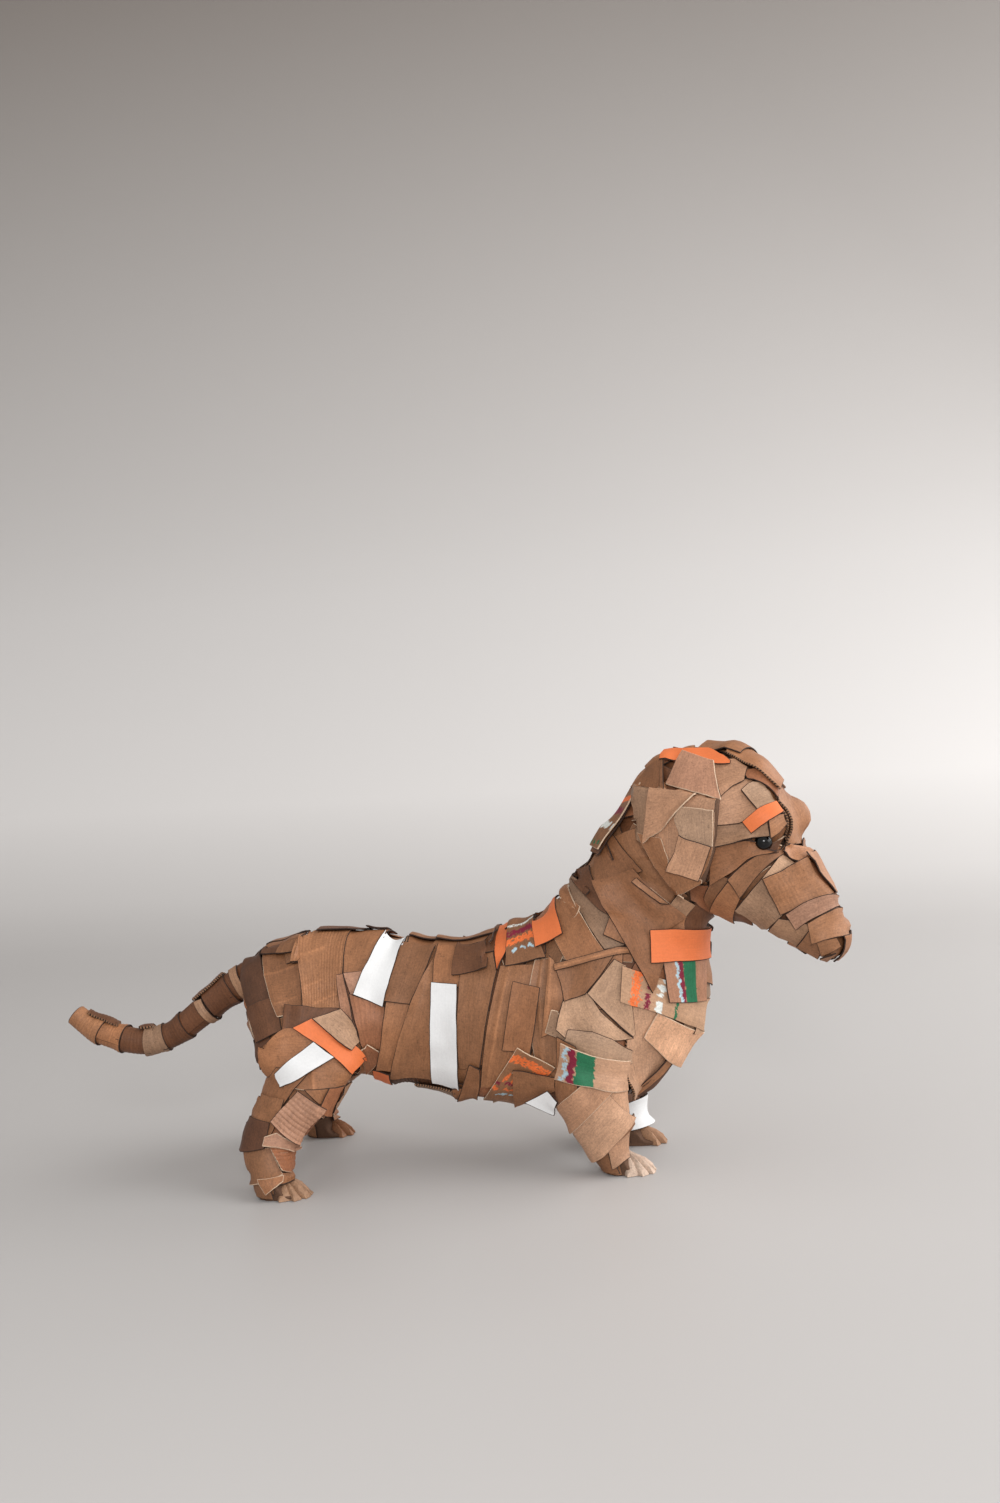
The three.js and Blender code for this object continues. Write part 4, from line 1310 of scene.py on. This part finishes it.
def fill_bare(grids):
    """Small sheets on all the places that the planned ones leave bare."""
    points, faces = [], []
    for rows in grids:
        faces += grid_faces(len(rows), len(rows[0]), len(points))
        points += [place[0] for row in rows for place in row]
    for spot, normal in bare_places(BVHTree.FromPolygons(points, faces)):
        way, thick = limb_at(spot)
        heading = normal.cross(way)
        heading.rotate(Matrix.Rotation(random.uniform(-SLANT, SLANT), 3, normal))
        length = random.uniform(*(size + thick * more for size, more in LENGTHS)) * MM
        width = random.uniform(*(size + thick * more for size, more in WIDTHS)) * MM
        tone = random.choice(KRAFT_TONES)
        # Most small sheets get the dark edge of painted shade, some the pale one with painted light.
        edge = random.choice(("dark", "dark", "pale"))
        sheet = {"piece": piece_at(spot), "tone": tone, "finish": "kraft_sheet", "edge": edge}
        cut(lay(sheet, walked("body", spot, heading, length, width)))


# The tail's middle line and radius (x, z, radius).
TAIL = [
    (-150, 166, 11.5),
    (-168, 158, 12),
    (-188, 146, 11),
    (-208, 132, 10),
    (-228, 118, 9.4),
    (-245, 110, 9),
    (-263, 107, 9),
    (-283, 110, 9),
    (-301, 116, 8.6),
    (-313, 123, 7.8),
    (-324, 132, 7),
]
TAIL_ROWS = 22  # rows of a wrap's grid for one whole turn
TAIL_CELL = 3
TAIL_SKEW = 2.5  # how far a wrap's edge wanders along the tail
TAIL_LAP = 1.2  # how much further out a wrap's end is than its start
WHOLE_TURN = (0, 1.08)
# Each wrap: from x, to x, tone, edge, and its turn where it isn't a whole one.
TAIL_WRAPS = [
    (-163, -184, "dark"),
    (-206, -226, "dark"),
    (-182, -204, "dark"),
    (-224, -245, "dark"),
    (-258, -282, "dark"),
    (-280, -303, "tan"),
    (-243, -262, "grey"),
    (-299, -324, "tan"),
    (-170, -178, "grey", "dark", (0.55, 1.2)),
    (-203, -209, "grey", "dark", (0.6, 1.1)),
    (-288, -317, "dark", "fluted", (0.2, 0.58)),
    (-254, -266, "dark", "fluted", (0.2, 0.57)),
    (-182, -210, "dark", "fluted", (0.2, 0.58)),
]


def tail_wrap(first, last, tone, edge="dark", turn=WHOLE_TURN):
    """One sheet wound around the tail, from turn to turn."""
    spots = [Vector(p) for p in TAIL]

    def at(x):
        k = next(i for i in range(len(spots) - 1) if spots[i + 1].x <= x or i == len(spots) - 2)
        share = (x - spots[k].x) / (spots[k + 1].x - spots[k].x)
        way = spots[min(k + 1 + (share > 0.5), len(spots) - 1)] - spots[max(k - (share < 0.5), 0)]
        return between(spots, k + share, True), Vector((way.x, way.y)).normalized()

    start = random.uniform(0, 1) if turn == WHOLE_TURN else 0
    skew = random.uniform(-TAIL_SKEW, TAIL_SKEW)
    rows = []
    turns = max(6, round(TAIL_ROWS * (turn[1] - turn[0])))
    columns = max(3, round(abs(last - first) / TAIL_CELL))
    for r in range(turns + 1):
        angle = (start + turn[0] + (turn[1] - turn[0]) * r / turns) * 2 * math.pi
        row = []
        for c in range(columns + 1):
            middle, way = at(first + (last - first) * c / columns + skew * math.sin(angle))
            out = Vector((-way.y * math.cos(angle), math.sin(angle), way.x * math.cos(angle)))
            spot = straight((middle.x, 0, middle.y)) + out * (middle.z + TAIL_LAP * r / turns) * MM
            row.append((spot, out))
        rows.append(row)
    sheet = {"piece": "tail_wraps", "tone": tone, "finish": "kraft_sheet", "edge": edge, "bridge": 1}
    sheet.update(clear=True, flutes="along", depth=0.16, pitch=3.1)
    cut(lay(sheet, oriented(rows)))


EYES = [turned((EYE[0], y * EYE[1], EYE[2])) for y in (-1, 1)]
# The right lower legs' middle lines, and the wraps around them in shares of these, from the paw up.
HIND_AXIS = [(-107, 57, 80), (-124, 66, 60), (-133, 73, 42), (-131, 80, 16), (-130, 83, 1.5)]
FRONT_AXIS = [(121, 43, 76), (122, 42, 50), (127, 41, 30), (134, 38, 14), (136, 37, 1.5)]
HIND_WRAPS = [(0.52, 0.77), (0.3, 0.6), (0.06, 0.4)]
FRONT_WRAPS = [(0.52, 0.78), (0.22, 0.6), (0.0, 0.3)]
HEEL_SPAN = (0.76, 1.0)
HEEL_TURN = (0.5, 1.04)
LEG_TURN = 1.05  # how far round a leg one wrap goes


def wrap_leg(piece, axis, wraps, side, step):
    """The wraps around a lower leg, from the paw up, under the sheets of its outer side."""
    axis = [(x + step[0], y + step[1], z) for x, y, z in axis]
    heel = {"piece": piece, "tone": "mid", "finish": "kraft_sheet", "bridge": 2}
    cut(lay(heel, wrapped("body", axis, HEEL_SPAN, HEEL_TURN, side)))
    for span in wraps:
        start = random.uniform(0.4, 0.6)
        edge = random.choice(("dark", "pale"))
        tone = random.choice(KRAFT_TONES)
        sheet = {"piece": piece, "tone": tone, "finish": "kraft_sheet", "edge": edge, "bridge": 2}
        cut(lay(sheet, wrapped("body", axis, span, (start, start + LEG_TURN), side)))


hand_laid = []
for side in (1, -1):
    for entry in plan:
        if side < 0 or not entry.get("right_only"):
            sheet = side_of(entry, side)
            hand_laid.append((sheet, planned(sheet)))
for side, hind, front in ((1, (HIND_STEP, 0), (FRONT_STEP, FRONT_STEP)), (-1, (0, 0), (0, 0))):
    wrap_leg("hind_leg_wraps", HIND_AXIS, HIND_WRAPS, side, hind)
    wrap_leg("front_leg_wraps", FRONT_AXIS, FRONT_WRAPS, side, front)
fill_bare([rows for _, rows in hand_laid])
for wrap in TAIL_WRAPS:
    tail_wrap(*wrap)
for sheet, rows in hand_laid:
    cut(lay(sheet, rows))
left_leg = [(x + FRONT_STEP, y + FRONT_STEP, z) for x, y, z in FRONT_AXIS]
cuff_span, cuff_turn = (0.56, 0.86), (0, 1.04)
cuff = {"piece": "white_cuff_strip", "tone": "white", "finish": "white_sheet", "bridge": 40}
cut(lay(cuff, wrapped("body", left_leg, cuff_span, cuff_turn, 1)))

# ---------------------------------------------------------------- paws and eyes

# Every toe has a turn outward from straight ahead, a length and half a width.
TOES = ((62, 18.5, 6), (40, 23, 3.7), (18, 25.5, 3.3), (-3, 25, 3.1), (-25, 21, 3))
ANKLE_HEIGHT = 20
TIP_HEIGHT = 8
TIP_LENGTH = 0.15  # the share of a toe that its blunt tip takes
TIP_DROP = 0.35  # how much lower the tip ends, as a share of its height
RIDGE_SLOPE = 0.22  # how much lower a toe is beside its ridge, as a share of its height
CRUMPLE = 0.7
TOE_SOLE = 0.2  # the lowest that a toe comes to the floor
# The left hind toes take a darker tone for the shade they stand in: painted shade.
PAW_TONES = {"right_hind": "grey", "left_hind": "mid", "right_front": "ash", "left_front": "grey"}


def toe(ankle, side, turn, length, half):
    """One toe: a finger of folded card with a sharp ridge, high at the ankle and blunt at the floor."""
    bpy.ops.object.select_all(action="DESELECT")
    bpy.ops.mesh.primitive_cube_add(size=1)
    piece = bpy.context.object
    bpy.ops.object.mode_set(mode="EDIT")
    bpy.ops.mesh.subdivide(number_cuts=3)
    bpy.ops.object.mode_set(mode="OBJECT")
    angle = math.radians(turn)
    ahead = Vector((math.cos(angle), side * math.sin(angle), 0))
    beside = Vector((-ahead.y, ahead.x, 0))
    lean = random.uniform(-0.5, 0.5)
    seed = Vector((random.random() * 9, turn, 0))
    for vertex in piece.data.vertices:
        share, across, up = vertex.co.x + 0.5, vertex.co.y * 2, vertex.co.z + 0.5
        # Wider towards the tip and narrower towards the ridge.
        wide = half * (0.85 + 0.15 * share) * (1 - 0.5 * up**2)
        ridge = 1 - RIDGE_SLOPE * abs(across - lean)
        blunt = 1 - TIP_DROP * max(0, share - 1 + TIP_LENGTH) / TIP_LENGTH
        height = (ANKLE_HEIGHT + (TIP_HEIGHT - ANKLE_HEIGHT) * share**0.8) * blunt
        spot = ahead * length * (share - 0.12 * up * share) + beside * across * wide
        place = Vector((ankle[0] + spot.x, ankle[1] + spot.y, 0.3 + height * up * ridge))
        crumple = noise.noise_vector(place * 0.2 + seed) * CRUMPLE
        place += crumple * min(1, up * 3)
        place.z = max(place.z, TOE_SOLE)
        vertex.co = straight(place)
    return piece


def paw(name, x, out, side):
    """A paw: toes of folded card fanned out from the ankle."""
    toes = [toe((x, side * out), side, *one) for one in TOES]
    only(toes[0])
    for piece in toes[1:]:
        piece.select_set(True)
    bpy.ops.object.join()
    piece = toes[0]
    piece.name = piece.data.name = name + "_toes"
    modify(piece, "BEVEL", width=0.25 * MM, segments=1, angle_limit=math.radians(25))
    colours = piece.data.attributes.new("tint", "FLOAT_COLOR", "POINT")
    tint = shade(PAW_TONES[name])
    colours.data.foreach_set("color", [v for _ in piece.data.vertices for v in tint])
    piece.data.materials.append(MATERIALS["kraft_sheet"])
    only(piece)
    bpy.ops.object.shade_smooth_by_angle(angle=math.radians(18))
    return piece


def bead(name, place, way):
    """A bead with a flat back, glued into its socket."""
    bpy.ops.object.select_all(action="DESELECT")
    radius = EYE_RADIUS * MM
    bpy.ops.mesh.primitive_uv_sphere_add(segments=40, ring_count=24, radius=radius, location=place)
    piece = bpy.context.object
    bpy.ops.object.transform_apply(location=True, rotation=False, scale=False)
    bpy.ops.object.mode_set(mode="EDIT")
    bpy.ops.mesh.select_all(action="SELECT")
    back = place - way * EYE_RADIUS * 0.5 * MM
    bpy.ops.mesh.bisect(plane_co=back, plane_no=-way, use_fill=True, clear_outer=True)
    bpy.ops.object.mode_set(mode="OBJECT")
    piece.name = piece.data.name = name
    piece.data.materials.append(MATERIALS["black_glass"])
    only(piece)
    bpy.ops.object.shade_smooth_by_angle(angle=math.radians(40))
    return piece


def joined(name, parts):
    """Joins a piece's sheets."""
    bpy.ops.object.select_all(action="DESELECT")
    for part in parts:
        part.select_set(True)
    bpy.context.view_layer.objects.active = parts[0]
    if len(parts) > 1:
        bpy.ops.object.join()
    piece = parts[0]
    piece.name = piece.data.name = name
    only(piece)
    bpy.ops.object.shade_smooth_by_angle(angle=math.radians(30))
    return piece


pieces = {name: joined(name, parts) for name, parts in meshed.items()}
for name, (x, out, side) in PAWS.items():
    piece = paw(name, x, out, side)
    pieces[piece.name] = piece
for name, place, y in (("right_bead", EYES[0], -1), ("left_bead", EYES[1], 1)):
    outward = (turned((0, y, 0)) - turned((0, 0, 0))).normalized()
    pieces[name] = bead(name, place, outward)
# The core and the ear flaps take the dark core card: painted shade where they show between sheets.
for piece in (core, bpy.data.objects["right_ear_flap"], bpy.data.objects["left_ear_flap"]):
    piece.data.materials.clear()
    piece.data.materials.append(MATERIALS["core_card"])
    pieces[piece.name] = piece
    only(piece)
    bpy.ops.object.shade_smooth()

# ---------------------------------------------------------------- frame

# The strips' own nodes have their names without the last word.
REPLACED = {name: name.rsplit("_", 1)[0] for name in pieces if name.endswith(("_strip", "_card"))}
REPLACED |= {
    "right_bead": "right_eye",
    "left_bead": "left_eye",
    "right_ear_flap": "right_ear",
    "left_ear_flap": "left_ear",
    "cardboard_core": "dog_body",
}
for name, piece in pieces.items():
    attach(piece, "root")
    if name in REPLACED:
        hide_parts(REPLACED[name])

# ---------------------------------------------------------------- camera, light and floor

# From here on every length is in metres.
FLOOR_WIDTH = 16
FLOOR_FRONT, FLOOR_BACK = -7, 1.1
BEND_RADIUS = 0.9
WALL_HEIGHT = 3.4
WALL_TOP = 2.2  # from this height up the backdrop has its last colour
# The sweep's colours from the floor up (share of that height, colour). The backdrop grows darker towards
# its top: painted shade where the light falls off.
SWEEP_COLOURS = [
    (0.0, linear(190, 187, 185)),
    (0.03, linear(206, 203, 201)),
    (0.1, linear(224, 221, 219)),
    (0.3, linear(214, 211, 209)),
    (1.0, linear(136, 128, 122)),
]


def studio_sweep():
    """A floor that runs back and sweeps up into a backdrop."""
    bpy.ops.object.select_all(action="DESELECT")
    bpy.ops.mesh.primitive_grid_add(x_subdivisions=2, y_subdivisions=96, size=1)
    sweep = bpy.context.object
    flat, curved = FLOOR_BACK - FLOOR_FRONT, math.pi / 2 * BEND_RADIUS
    for vertex in sweep.data.vertices:
        run = (vertex.co.y + 0.5) * (flat + curved + WALL_HEIGHT)
        y, z = FLOOR_FRONT + run, 0.0
        if run > flat:
            angle = min((run - flat) / BEND_RADIUS, math.pi / 2)
            y = FLOOR_BACK + BEND_RADIUS * math.sin(angle)
            z = BEND_RADIUS * (1 - math.cos(angle)) + max(0, run - flat - curved)
        vertex.co = (vertex.co.x * FLOOR_WIDTH, y, z)
    sweep.name = "studio_sweep"
    only(sweep)
    bpy.ops.object.shade_smooth()
    nodes, links, shader = new_material("studio_grey")
    parts = nodes.new("ShaderNodeSeparateXYZ")
    links.new(nodes.new("ShaderNodeTexCoord").outputs["Object"], parts.inputs["Vector"])
    shading = nodes.new("ShaderNodeValToRGB")
    elements = shading.color_ramp.elements
    elements[0].color = SWEEP_COLOURS[0][1]
    elements[1].color = SWEEP_COLOURS[-1][1]
    for spot, colour in SWEEP_COLOURS[1:-1]:
        elements.new(spot).color = colour
    # The colours by height paint the light's falloff up the backdrop.
    links.new(ramp(nodes, links, parts.outputs["Z"], 0, WALL_TOP, 0, 1), shading.inputs["Fac"])
    links.new(shading.outputs["Color"], shader.inputs["Base Color"])
    shader.inputs["Roughness"].default_value = 0.45
    shader.inputs["Specular IOR Level"].default_value = 0.2
    sweep.data.materials.append(MATERIALS["studio_grey"])
    return sweep


studio_sweep()

CAMERA_PLACE = (0.2334, -1.1795, 0.36)
YAW, DIP, ROLL = math.radians(8.5), math.radians(1.18), math.radians(3.57)
bpy.ops.object.camera_add(location=CAMERA_PLACE)
camera = bpy.context.object
forward = Vector((-math.sin(YAW) * math.cos(DIP), math.cos(YAW) * math.cos(DIP), -math.sin(DIP)))
level = Vector((math.cos(YAW), math.sin(YAW), 0))
upward = level.cross(forward)
right = level * math.cos(ROLL) - upward * math.sin(ROLL)
top = level * math.sin(ROLL) + upward * math.cos(ROLL)
camera.rotation_euler = Matrix((right, top, -forward)).transposed().to_euler()
camera.data.sensor_width = 36
camera.data.lens = 35
camera.data.clip_start = 0.01
bpy.context.scene.camera = camera

bpy.context.scene.view_settings.view_transform = "Standard"
world = bpy.data.worlds.new("studio")
world.use_nodes = True
background = world.node_tree.nodes["Background"]
background.inputs["Color"].default_value = (0.80, 0.79, 0.78, 1)
background.inputs["Strength"].default_value = 0.8
bpy.context.scene.world = world


def soft_light(name, place, aim, size, power):
    """A square soft light at a place, aimed at a point."""
    bpy.ops.object.light_add(type="AREA", location=place)
    lamp = bpy.context.object
    lamp.name = name
    lamp.data.shape = "SQUARE"
    lamp.data.size = size
    lamp.data.energy = power
    lamp.rotation_euler = (Vector(aim) - Vector(place)).to_track_quat("-Z", "Y").to_euler()


soft_light("window", (3.2, -0.5, 1.8), (0, 0, 0.15), 3.2, 94)
soft_light("sky", (0.4, -2.0, 0.95), (0, 0, 0.1), 0.5, 17)
soft_light("far", (1.9, 1.0, 1.2), (0.4, -0.7, 0), 1.4, 20)
